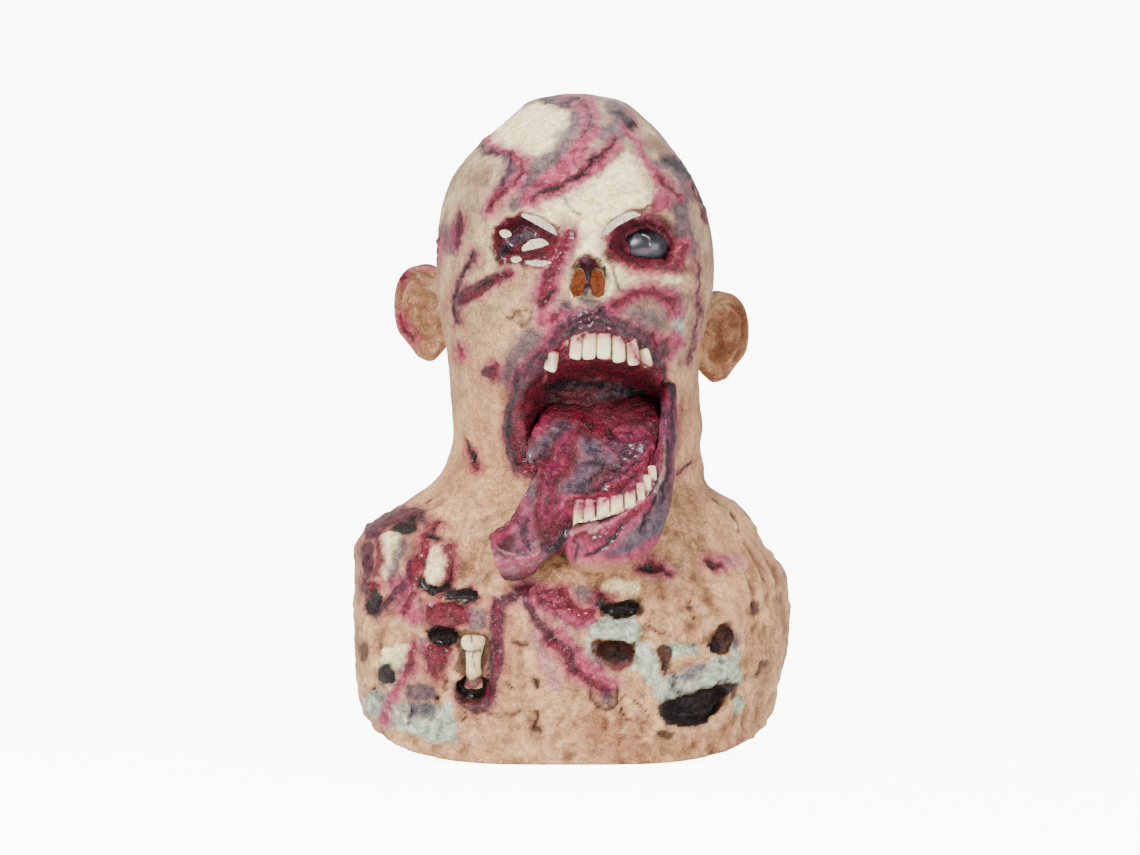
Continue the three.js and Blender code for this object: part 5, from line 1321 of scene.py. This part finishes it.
# The dead eye: a clouded ball of painted latex with a grey iris and a dark pupil, glossier than the skin. It
# is glued into the right socket, and its back side is flattened against it.
EYE_RADIUS = 0.016
EYE_SHAPE = (1.08, 0.75, 0.88)
EYE_OFFSET = (-0.2, 0.2, -0.3)  # from the middle of the socket, as shares of the radius
EYE_MARKS = as_strokes({
    "iris": ("slate", 5.4, 4, 0, 1, [(638, 238), (638.5, 239.5)]),
    "pupil": ("ink", 2.6, 2.4, 0, 1, [(638, 238.5), (638.5, 239.5)]),
    "shadow of the upper lid": ("ink", 2, 3.4, 0, 1, [(620, 238), (630, 230), (642, 228), (653, 234),
        (657, 243)]),
    "shadow of the lower lid": ("slate", 2.4, 3, 0, 1, [(622, 247), (634, 252.5), (648, 252), (656, 246)]),
    "pale streak": ("mint", 0.6, 2.4, 0, 1, [(645, 234), (650, 239), (651, 245)]),
})
socket_place = front_place(dict(zip(FORM_COLUMNS, FORMS["right socket"])))
eye_middle = socket_place + np.array(EYE_OFFSET) * EYE_RADIUS + SHIFT
bpy.ops.object.select_all(action="DESELECT")
bpy.ops.mesh.primitive_uv_sphere_add(segments=96, ring_count=64, radius=EYE_RADIUS)
eye = bpy.context.object
eye.name = "dead_eye"
ball = mesh_points(eye) * EYE_SHAPE + eye_middle
eye.data.vertices.foreach_set("co", ball.ravel())
cut_by(eye, face_block)
eye_masks, _, _ = paint_masks(mesh_points(eye), EYE_MARKS, np.ones(len(eye.data.vertices)))
EYE_LAYERS = ("mint", "slate", "ink")
for layer in EYE_LAYERS:
    put_attribute(eye, layer, eye_masks[layer])
eye_material, tree, shader = new_material("clouded eye")
place = piece_place(tree)
clouds = ramp(tree, grain(tree, place, 140, 5, 0.6), 0.36, 0.62)
colour = painted(tree, mixed(tree, clouds, paint(44, 48, 58), paint(84, 86, 96)), EYE_LAYERS)
tree.links.new(colour, shader.inputs["Base Color"])
shader.inputs["Roughness"].default_value = 0.36
shader.inputs["Coat Weight"].default_value = 0.1
shader.inputs["Coat Roughness"].default_value = 0.12
finish_piece(eye, eye_material, "eyeball")


# The upper teeth: cream latex crowns with painted brown shade between them, cast in one row with a lumpy
# gum. The row is glued under the upper lip.

# A tooth from its root to its edge: how far along, and how wide and how deep it is there.
TOOTH_PROFILE = [
    (-0.3, 0.7, 0.7), (0, 0.82, 0.95), (0.2, 0.92, 1.15), (0.45, 0.98, 1.15), (0.7, 0.97, 1),
    (0.84, 0.93, 0.84), (0.93, 0.82, 0.66), (0.98, 0.64, 0.46), (1, 0.36, 0.24),
]
TOOTH_BOX = 2.35  # how square a tooth is across, from an ellipse at 2
TOOTH_DEPTH = 0.75  # as a share of its width
TOOTH_WEAR = 0.04  # how crooked the biting edge is worn, as a share of the height
TOOTH_CHIPS, CHIP_SIZE = 0.00022, 0.0035
TOOTH_SIDES = 33


def tooth(name, neck, wide, tall, lean, grows):
    """A tooth that hangs down from its neck, or stands up where grows is 1."""
    turns = np.linspace(0, 2 * math.pi, TOOTH_SIDES)
    across, deep = [np.sign(way) * np.abs(way) ** (2 / TOOTH_BOX) for way in (np.cos(turns), np.sin(turns))]
    at, width, depth = np.array(TOOTH_PROFILE).T[:, :, None]
    x = wide / 2 * width * across
    y = wide * TOOTH_DEPTH / 2 * depth * deep
    z = tall * at * grows + 0 * across
    z = z + TOOTH_WEAR * tall * smooth((at - 0.8) / 0.2) * noise.noise(Vector(neck) * 300) * across
    turn = math.radians(lean)
    leaned = (x * math.cos(turn) + z * math.sin(turn), y, z * math.cos(turn) - x * math.sin(turn))
    rows = np.stack(leaned, -1) + neck
    outward = unit(rows - rows[:, :-1].mean(1, keepdims=True))
    rows = rows + outward * (TOOTH_CHIPS * noise_at(rows, CHIP_SIZE, 5))[..., None]
    return rolled_grid(name, closed_rows(rows))


GUM_LUMPS, GUM_LUMP_SIZE = 0.0007, 0.004
GUM_SIDES, GUM_RINGS = 29, 8


def gum(name, necks, radius, high):
    """A lumpy bar through the necks of the teeth."""
    places = np.arange(len(necks))
    at = np.linspace(0, len(necks) - 1, GUM_RINGS * len(necks))
    line = np.stack([curve_through(places, necks[:, i], at) for i in range(3)], -1)
    along = unit(np.gradient(line, axis=0))
    upright = unit(np.array((0, 0, 1)) - along * along[:, 2:])
    inward = np.cross(along, upright)
    turns = np.linspace(0, 2 * math.pi, GUM_SIDES)
    ends = rounded_end(at, 0, 0.5) * rounded_end(at, len(necks) - 1, 0.5)
    rows = line[:, None] + ends[:, None, None] * radius * (
        high * np.sin(turns)[:, None] * upright[:, None] + np.cos(turns)[:, None] * inward[:, None]
    )
    lumps = GUM_LUMPS * ends[:, None] * noise_at(rows, GUM_LUMP_SIZE, 6)
    rows = rows + unit(rows - line[:, None]) * lumps[..., None]
    return rolled_grid(name, closed_rows(rows))


def joined_teeth(name, teeth, base, cutters):
    """The teeth and their gum as one piece, cut back to what it lies on."""
    for made in teeth:
        cut_by(base, made, "UNION")
        drop(made)
    for cutter in cutters:
        cut_by(base, cutter)
    base.name = name
    return base


def paint_teeth(piece, necks, lengths, grows, marks):
    """The teeth's gum, the painted shade on their sides, their edges, and their marks."""
    points, normals = mesh_points(piece), mesh_points(piece, "normal")
    nearest = np.argmin(np.abs(points[:, None, 0] - necks[None, :, 0]), 1)
    along = (points[:, 2] - necks[nearest, 2]) * grows / lengths[nearest]
    flesh = smooth((0.08 - along + 0.1 * noise_at(points, GUM_LUMP_SIZE, 8)) / 0.12)
    # Painted shade on the sides of the teeth that face their neighbours.
    sideways = smooth((np.abs(normals[:, 0]) - 0.66) / 0.3) * smooth((along + 0.1) / 0.2)
    masks, _, wet = paint_masks(points, marks, np.ones(len(points)))
    put_attribute(piece, "gum", flesh)
    put_attribute(piece, "between", sideways)
    put_attribute(piece, "edge", smooth((along - 0.5) / 0.5))
    put_attribute(piece, "wet", np.maximum(wet, 0.6))
    for layer in layers_of(marks):
        put_attribute(piece, layer, masks[layer])


def tooth_material(name, gums, edges, marks):
    """Cream enamel with painted brown shade between the teeth, with the gum's and the biting edges' colours.
    """
    material, tree, shader = new_material(name)
    place = piece_place(tree)
    clouds = ramp(tree, grain(tree, place, 150, 3), 0.35, 0.65)
    cream = mixed(tree, clouds, paint(240, 234, 208), paint(226, 214, 178))
    stains = ramp(tree, grain(tree, place, 420, 4, 0.7), 0.5, 0.72, 0, 0.35)
    colour = mixed(tree, stains, cream, paint(176, 140, 98))
    patches = ramp(tree, grain(tree, place, 260, 3), 0.4, 0.6, 0.3, 0.85)
    worn = number(tree, "MULTIPLY", attribute(tree, "edge"), patches)
    colour = mixed(tree, worn, colour, edges)
    # Painted brown shade between the teeth.
    painted_shade_between = number(tree, "MULTIPLY", attribute(tree, "between"), 0.9)
    colour = mixed(tree, painted_shade_between, colour, paint(96, 58, 46))
    flesh = mixed(tree, ramp(tree, grain(tree, place, 330, 3), 0.4, 0.6), *gums)
    colour = mixed(tree, attribute(tree, "gum"), colour, flesh)
    colour = painted(tree, colour, layers_of(marks))
    finish_flesh(tree, shader, colour, 0.1, 0.34, 0.0002)
    return material


TOOTH_WIDTH, TOOTH_HEIGHT = 0.0109, 0.020
UPPER_GUM = 0.36  # the gum's radius as a share of a tooth's width
NECK_SUNK = 0.15  # how far a neck lies behind the lip, as a share of a tooth's width
# Where each tooth's neck is, its size as shares of the two above, and how it leans, in degrees.
UPPER_COLUMNS = ("x", "z", "wide", "high", "lean")
UPPER_TEETH = [
    (-0.062, 0.606, 0.85, 0.72, 14), (0.02, 0.63, 0.86, 0.86, 7), (0.064, 0.636, 0.92, 1, 4),
    (0.111, 0.637, 0.98, 1, 1), (0.158, 0.632, 0.92, 1, -3), (0.203, 0.624, 0.86, 0.92, -8),
    (0.246, 0.612, 0.74, 0.72, -16),
]
UPPER_MARKS = as_strokes({
    "blood along the gum": ("crimson", 1.2, 2, 0, 1, [(574, 341), (582, 334), (594, 329), (612, 332),
        (632, 346)]),
    "blood under the canine": ("crimson", 2.4, 3, 0, 1, [(553, 345), (560, 352), (562, 360)]),
    "black left of the canine": ("ink", 1.6, 2, 0, 1, [(550, 344), (545, 352), (545, 362)]),
    "blood by the last tooth": ("crimson", 2, 3, 0, 1, [(634, 352), (640, 362), (650, 368)]),
})
upper = dict(zip(UPPER_COLUMNS, np.array(UPPER_TEETH).T))
upper_x, upper_z = upper["x"] * HEAD_WIDTH, upper["z"] * MASK_HEIGHT
upper_y = skin_front(upper_x, upper_z) + NECK_SUNK * TOOTH_WIDTH
upper_necks = np.stack([upper_x, upper_y, upper_z], -1) + SHIFT
crowns = [
    tooth(f"upper tooth {i}", upper_necks[i], TOOTH_WIDTH * wide, TOOTH_HEIGHT * tall, lean, -1)
    for i, (_, _, wide, tall, lean) in enumerate(UPPER_TEETH)
]
upper_gum = gum("upper gum", upper_necks, UPPER_GUM * TOOTH_WIDTH, 0.9)
upper_teeth = joined_teeth("upper_tooth_row", crowns, upper_gum, [face_block])
paint_teeth(upper_teeth, upper_necks, TOOTH_HEIGHT * upper["high"], -1, UPPER_MARKS)
upper_material = tooth_material(
    "upper enamel", (paint(188, 96, 118), paint(120, 50, 78)), paint(244, 238, 216), UPPER_MARKS
)
finish_piece(upper_teeth, upper_material, "upper_teeth")


# The lower jaw: a dislocated bar of plum flesh with its chin, cast in soft foam under a latex skin. It is
# glued in front of the neck, which its back side reaches, and runs up the mouth's right edge.
JAW_HEIGHT, JAW_THICKNESS = 0.034, 0.019
JAW_RINGS, JAW_SIDES = 150, 97
JAW_BED = 0.0008  # how far the pieces that lie on the jaw stay clear of it
# From its upper end at the right to the chin's left end: where it is, how far it stands proud, its size as
# shares of the height and the thickness, and how far its back side reaches back, as a share of the height.
JAW_COLUMNS = ("x", "z", "proud", "high", "thick", "web")
JAW_LINE = [
    (0.345, 0.56, -0.12, 0.34, 0.5, 0), (0.342, 0.51, -0.035, 0.42, 0.55, 0.6),
    (0.328, 0.455, 0.045, 0.55, 0.65, 1.2), (0.302, 0.395, 0.105, 0.78, 0.85, 1.5),
    (0.245, 0.35, 0.15, 0.95, 1, 1.6), (0.15, 0.328, 0.168, 1, 1, 1.6),
    (0.055, 0.319, 0.15, 0.98, 1, 1.4), (-0.005, 0.322, 0.105, 0.85, 0.9, 1),
]
JAW_MARKS = as_strokes({
    "grey of the chin": ("slate", 10, 9, 0.4, 0.5, [(608, 547), (630, 541), (650, 524)]),
    "grey of the right side": ("slate", 7, 8, 0, 0.4, [(660, 478), (660, 505), (659, 532)]),
    "pink under the chin": ("pink", 6, 7, 0, 0.4, [(570, 540), (576, 556), (600, 563), (631, 558),
        (654, 541)]),
    "pink of the left end": ("pink", 6, 6, 0.3, 0.5, [(562, 528), (565, 546), (578, 562)]),
    "blood under the gum": ("crimson", 2.6, 4, 0.5, 0.9, [(578, 538), (600, 537), (624, 524), (644, 506)]),
    "blood of the groove": ("crimson", 3, 3, -0.5, 1, [(618, 530), (600, 546), (588, 555)]),
    "ink of the groove": ("ink", 1.4, 2, -1, 1, [(622, 527), (607, 541), (596, 550), (588, 554)]),
    "glints of the groove": ("bone", 0.5, 1, 0.5, 1, [(593, 549), (600, 545), (598, 551)]),
    "crack by the gum": ("ink", 0.9, 1.4, -0.9, 0.6, [(640, 530), (645, 519), (650, 508), (657, 495)]),
    "second crack": ("ink", 0.7, 1.4, -0.6, 0.4, [(574, 540), (578, 550), (577, 560)]),
    "gum line": ("blush", 2.6, 5, 0.5, 0.5, [(568, 532), (586, 533), (604, 527), (628, 514), (646, 499)]),
    "pale gum": ("bone", 1, 3, 0.5, 0.5, [(569, 534), (586, 534), (604, 528)]),
    "gum up the side": ("bone", 2.2, 3, 0.8, 0.5, [(656, 490), (661, 478), (665, 462), (665, 446)]),
    "flesh behind the teeth": ("crimson", 9, 4, 0, 1, [(596, 486), (625, 466), (645, 446)]),
    "black up the side": ("ink", 1.6, 3, -0.4, 0.8, [(665, 440), (667, 470), (664, 500)]),
    "plum up the side": ("plum", 6, 5, 0.4, 0.6, [(668, 370), (669, 430), (667, 470)]),
    "grey up the side": ("slate", 3, 4, 0.4, 0.6, [(662, 385), (664, 420), (662, 440)]),
    "ink of the upper end": ("ink", 1.6, 3, -0.6, 0.8, [(671, 360), (673, 400), (672, 440)]),
    "blood of the upper end": ("crimson", 2.4, 4, 0.5, 0.9, [(663, 362), (666, 380), (667, 400)]),
})


def jaw_rows(grow):
    """Rings of the jaw from its upper end to the chin's left end, grown by a little."""
    line, along, size = centre_line(JAW_LINE, JAW_COLUMNS, JAW_RINGS)
    at = np.linspace(0, 1, len(line))
    ends = (rounded_end(at, 1, 0.07) * rounded_end(at, 0, 0.03))[:, None, None]
    upright = unit(np.array((0, 0, 1)) - along * along[:, 2:])[:, None]
    inward = unit(np.cross(along[:, None], upright))
    turns = np.linspace(0, 2 * math.pi, JAW_SIDES)[:, None]
    half_high = (JAW_HEIGHT * size["high"] / 2 + grow)[:, None, None]
    half_thick = (JAW_THICKNESS * size["thick"] / 2 + grow)[:, None, None]
    offset = upright * half_high * np.sin(turns) + inward * half_thick * np.cos(turns)
    behind = smooth(2 * offset[..., 1] / half_high[..., 0])
    offset = offset * ends
    offset[..., 1] += behind * size["web"][:, None] * JAW_HEIGHT * ends[..., 0]
    return line[:, None] + offset


jaw = glued_piece("jaw", jaw_rows(0), JAW_MARKS, [(0.009, 0.0011), (0.0035, 0.0005)], [face_block])
jaw_material, tree, shader = flesh_material(
    "plum flesh", (paint(122, 78, 90), paint(92, 56, 70)), JAW_MARKS, paint(52, 26, 40), 0.42
)
place = piece_place(tree)
painted_colour = shader.inputs["Base Color"].links[0].from_socket
up = add_node(tree, "ShaderNodeSeparateXYZ", [("Vector", place)]).outputs["Z"]
frayed_height = number(tree, "ADD", up, ramp(tree, grain(tree, place, 160, 3), 0, 1, -0.006, 0.006))
CHIN_TOP, CHIN_FULL = 0.139, 0.129  # between these heights the plum runs out into the chin's flesh
chin = ramp(tree, frayed_height, CHIN_TOP, CHIN_FULL, 0, 0.9)
tree.links.new(mixed(tree, chin, painted_colour, paint(206, 172, 142)), shader.inputs["Base Color"])
finish_piece(jaw, jaw_material, "lower_jaw")
jaw_room = rolled_grid("jaw room", closed_rows(jaw_rows(JAW_BED)))


# The lower teeth: worn cream teeth with pink biting edges, cast in one row with a low pale gum, which is
# glued along the jaw's upper edge. They grow smaller towards the right.
LOWER_COUNT = 8
LOWER_HEIGHT = 0.016
LOWER_START, LOWER_END = 0.96, 0.41  # where on the jaw's line the row starts at the left, and where it ends
LOWER_LAST = 0.6  # the last tooth's height as a share of the first's
LOWER_LEAN = -14  # how far the last leans more than the first, in degrees
LOWER_FILL = 1.04  # a tooth's width as a share of its space
LOWER_LEAST = 0.0062  # the narrowest that a tooth gets
LOWER_GUM = 0.16  # the gum's radius as a share of the first tooth's height
LOWER_MARKS = as_strokes({
    "pink over the first teeth": ("pink", 3, 4, 0, 1, [(564, 508), (578, 506), (590, 507)]),
    "blood behind the teeth": ("crimson", 1.4, 2, 0, 1, [(562, 505), (590, 503), (612, 496), (636, 486)]),
})
jaw_points, jaw_along, jaw_size = centre_line(JAW_LINE, JAW_COLUMNS, 200)
jaw_upright = unit(np.array((0, 0, 1)) - jaw_along * jaw_along[:, 2:])
ridge = jaw_points + jaw_upright * (JAW_HEIGHT * jaw_size["high"] / 2)[:, None]
shares = np.linspace(0, 1, LOWER_COUNT)
run = np.concatenate([[0], np.cumsum(np.linalg.norm(np.diff(ridge, axis=0), axis=1))])
ridge_rows = np.arange(len(ridge))
first, last = [np.interp(share * ridge_rows[-1], ridge_rows, run) for share in (LOWER_START, LOWER_END)]
ridge_run = first + (last - first) * shares
lower_necks = np.stack([np.interp(ridge_run, run, ridge[:, i]) for i in range(3)], -1)
widths = np.maximum(np.abs(np.gradient(lower_necks[:, 0])) * LOWER_FILL, LOWER_LEAST)
leans = LOWER_LEAN * (shares - 0.5)
lower_heights = LOWER_HEIGHT * (1 + (LOWER_LAST - 1) * shares)
crowns = [
    tooth(f"lower tooth {i}", lower_necks[i], widths[i], lower_heights[i], leans[i], 1)
    for i in range(LOWER_COUNT)
]
lower_gum = gum("lower gum", lower_necks, LOWER_GUM * LOWER_HEIGHT, 0.9)
lower_teeth = joined_teeth("lower_tooth_row", crowns, lower_gum, [face_block, jaw_room])
paint_teeth(lower_teeth, lower_necks, lower_heights, 1, LOWER_MARKS)
lower_material = tooth_material(
    "lower enamel", (paint(202, 160, 160), paint(160, 104, 118)), paint(214, 150, 156), LOWER_MARKS
)
finish_piece(lower_teeth, lower_material, "lower_teeth")


# The tongue: a torn slab of wet flesh, soft foam under a latex skin, glued in the throat. It hangs out over
# the jaw's left end, grooved along its middle and twisted to the left, with a ragged tip.
TONGUE_WIDTH, TONGUE_THICKNESS = 0.090, 0.013
TONGUE_GROOVE, TONGUE_CURL = 0.35, 0.7  # the groove's depth and the edges' rise, in half thicknesses
TONGUE_RAGGED, RAGGED_SIZE = 0.05, 0.012
TONGUE_RINGS, TONGUE_SIDES = 190, 121
# From the throat to the tip: where it is, how far it stands proud, its size as shares of the width and the
# thickness, and how far it is turned, in degrees.
TONGUE_COLUMNS = ("x", "z", "proud", "wide", "thick", "turn")
TONGUE_LINE = [
    (0.1, 0.532, -0.15, 0.78, 0.9, 0), (0.098, 0.503, -0.08, 0.9, 1, 0), (0.088, 0.47, -0.01, 0.98, 1, -4),
    (0.066, 0.432, 0.045, 0.98, 0.95, -10), (0.02, 0.39, 0.08, 0.82, 0.85, -22),
    (-0.075, 0.358, 0.09, 0.56, 0.75, -34), (-0.15, 0.332, 0.075, 0.4, 0.65, -42),
    (-0.205, 0.311, 0.058, 0.42, 0.5, -46), (-0.25, 0.302, 0.05, 0.36, 0.34, -48),
    (-0.27, 0.299, 0.047, 0.22, 0.2, -48),
]
TONGUE_MARKS = as_strokes({
    "blood at the root": ("maroon", 10, 8, -0.4, 1, [(548, 402), (580, 400), (620, 404), (650, 408)]),
    "dark red of the root": ("maroon", 5, 9, -0.5, 1, [(562, 410), (590, 428), (612, 434)]),
    "grey of the root": ("slate", 5, 6, 0.4, 1, [(600, 404), (625, 402), (645, 406)]),
    "torn left edge": ("crimson", 6, 5, -0.7, 1, [(534, 424), (541, 404), (552, 395)]),
    "grey fold": ("slate", 4.4, 5, 0.8, 0.9, [(571, 420), (556, 430), (539, 444), (530, 458), (528, 476),
        (529, 498), (524, 514)]),
    "ink beside the fold": ("ink", 0.8, 2, -0.6, 1, [(566, 428), (546, 444), (536, 462), (534, 480)]),
    "pink ridge": ("plum", 1.5, 6, 0.9, 0.8, [(570, 436), (556, 462), (549, 488), (545, 512)]),
    "grey of the middle": ("slate", 9, 9, 0.4, 0.8, [(590, 446), (604, 458), (588, 466), (582, 482),
        (572, 490)]),
    "ink of the middle": ("ink", 1.4, 3.4, -0.5, 1, [(586, 460), (604, 466), (596, 478), (582, 484)]),
    "plum on the right": ("plum", 8, 8, 0.4, 0.8, [(612, 446), (628, 452), (640, 448)]),
    "pink on the right": ("plum", 1.5, 5, 0.5, 0.8, [(620, 434), (642, 436), (654, 444)]),
    "second ink of the middle": ("ink", 1, 3, -0.4, 1, [(610, 452), (622, 462), (612, 472)]),
    "blood along the bottom": ("crimson", 4, 6, 0.5, 1, [(566, 506), (595, 499), (624, 481), (645, 466),
        (651, 454)]),
    "brown along the bottom": ("brown", 1.8, 3, -0.3, 0.8, [(580, 511), (606, 505), (630, 493)]),
    "fold above the bottom": ("ink", 0.7, 2, -0.7, 1, [(575, 493), (600, 487), (622, 472), (636, 462)]),
    "dark of the tip": ("slate", 7, 7, -0.5, 0.9, [(522, 508), (519, 524), (528, 540), (524, 552)]),
    "ink of the tip": ("plum", 3, 5, -0.5, 1, [(526, 520), (524, 534), (529, 548)]),
    "blood of the upper edge": ("crimson", 5, 5, 0.8, 1, [(486, 540), (500, 528), (514, 515), (520, 504)]),
    "pink of the tip": ("pink", 2, 4, 0.9, 0.9, [(485, 540), (489, 556), (500, 567), (520, 562),
        (540, 554)]),
    "cream streak of the tip": ("blush", 1.4, 3, 0.4, 0.5, [(497, 545), (504, 552), (514, 556),
        (530, 553)]),
    # A painted shadow under the tongue.
    "painted shadow under the tongue": ("ink", 3, 5, -0.4, 0.7, [(563, 532), (559, 542), (548, 550)]),
})
line, along, size = centre_line(TONGUE_LINE, TONGUE_COLUMNS, TONGUE_RINGS)
lean = np.radians(size["turn"])
across = np.stack([np.cos(lean), 0 * lean, np.sin(lean)], -1)
across = unit(across - along * (across * along).sum(1, keepdims=True))[:, None]
facing = np.cross(along[:, None], across)
turns = np.linspace(0, 2 * math.pi, TONGUE_SIDES)
side = np.cos(turns)
groove = TONGUE_GROOVE * (1 - side**2) ** 4 * np.sign(np.sin(turns))
rise = np.sin(turns) - groove + TONGUE_CURL * side**2
edge_places = line[:, None] + across * side[:, None] * 0.03
ragged = 1 + TONGUE_RAGGED * noise_at(edge_places, RAGGED_SIZE, 40) * np.abs(side)
half_wide = (TONGUE_WIDTH / 2 * size["wide"])[:, None] * ragged
tongue_rows = line[:, None] + across * (half_wide * side)[..., None]
tongue_rows += facing * (TONGUE_THICKNESS / 2 * size["thick"][:, None] * rise)[..., None]
tongue = glued_piece(
    "torn_tongue", tongue_rows, TONGUE_MARKS, [(0.011, 0.0014), (0.004, 0.0007), (0.0022, 0.0003)],
    [face_block, jaw_room],
)
tongue_material, tree, shader = flesh_material(
    "torn tongue", (paint(142, 62, 84), paint(104, 40, 60)), TONGUE_MARKS, paint(58, 18, 34), 0.36
)
finish_piece(tongue, tongue_material, "tongue")
drop(jaw_room)


# The rib's stub: a short bone with a knuckle at its upper end, cast in latex and painted cream with brown
# stains. It is glued into the wound at the left.
BONE_RADIUS, BONE_LENGTH = 0.007, 0.036
KNUCKLE_SWELL = 0.16
BONE_RINGS, BONE_SIDES = 73, 65
# From the foot to the top: how far along, and how thick it is there.
BONE_PROFILE = [
    (-0.5, 0.5), (-0.49, 0.74), (-0.46, 0.86), (-0.4, 0.9), (-0.3, 0.8), (-0.1, 0.72), (0.1, 0.76),
    (0.25, 0.92), (0.34, 1.04), (0.42, 1.04), (0.47, 0.92), (0.495, 0.72), (0.5, 0.5),
]
BONE_MARKS = as_strokes({
    "stain below the knuckle": ("brown", 1.4, 3, -0.3, 0.2, [(464, 650), (470, 653), (478, 650)]),
    "stain of the foot": ("brown", 3, 4, -0.2, 0.4, [(462, 678), (471, 682), (480, 678)]),
    "notch of the knuckle": ("brown", 0.8, 1.6, -0.8, 0.2, [(471, 632), (471, 640)]),
    "crack down the shaft": ("brown", 0.4, 1, -0.4, 0.1, [(474, 648), (472, 660), (474, 670)]),
    "blood of the foot": ("crimson", 1.6, 3, 0, 0.8, [(464, 683), (472, 686), (479, 683)]),
})
bed_place = front_place(dict(zip(FORM_COLUMNS, FORMS["bone bed"])))
bone_at = 0.5 * np.sin(np.linspace(-0.5, 0.5, BONE_RINGS) * math.pi)
bone_size = curve_through(*np.array(BONE_PROFILE).T, bone_at) * BONE_RADIUS
turns = np.linspace(0, 2 * math.pi, BONE_SIDES)
knuckle = 1 + KNUCKLE_SWELL * smooth((bone_at - 0.15) / 0.2)[:, None] * np.cos(2 * turns)
bone_rows = np.stack([
    bone_size[:, None] * np.cos(turns) * knuckle, bone_size[:, None] * np.sin(turns),
    BONE_LENGTH * bone_at[:, None] + 0 * turns,
], -1) + bed_place + SHIFT
rib_bone = glued_piece("rib_stub", bone_rows, BONE_MARKS, [(0.006, 0.0006), (0.0025, 0.0002)], [face_block])
bone_material, tree, shader = flesh_material(
    "old bone", (paint(240, 232, 206), paint(222, 206, 168)), BONE_MARKS, paint(128, 92, 60), 0.45
)
finish_piece(rib_bone, bone_material, "rib_bone")
drop(face_block)
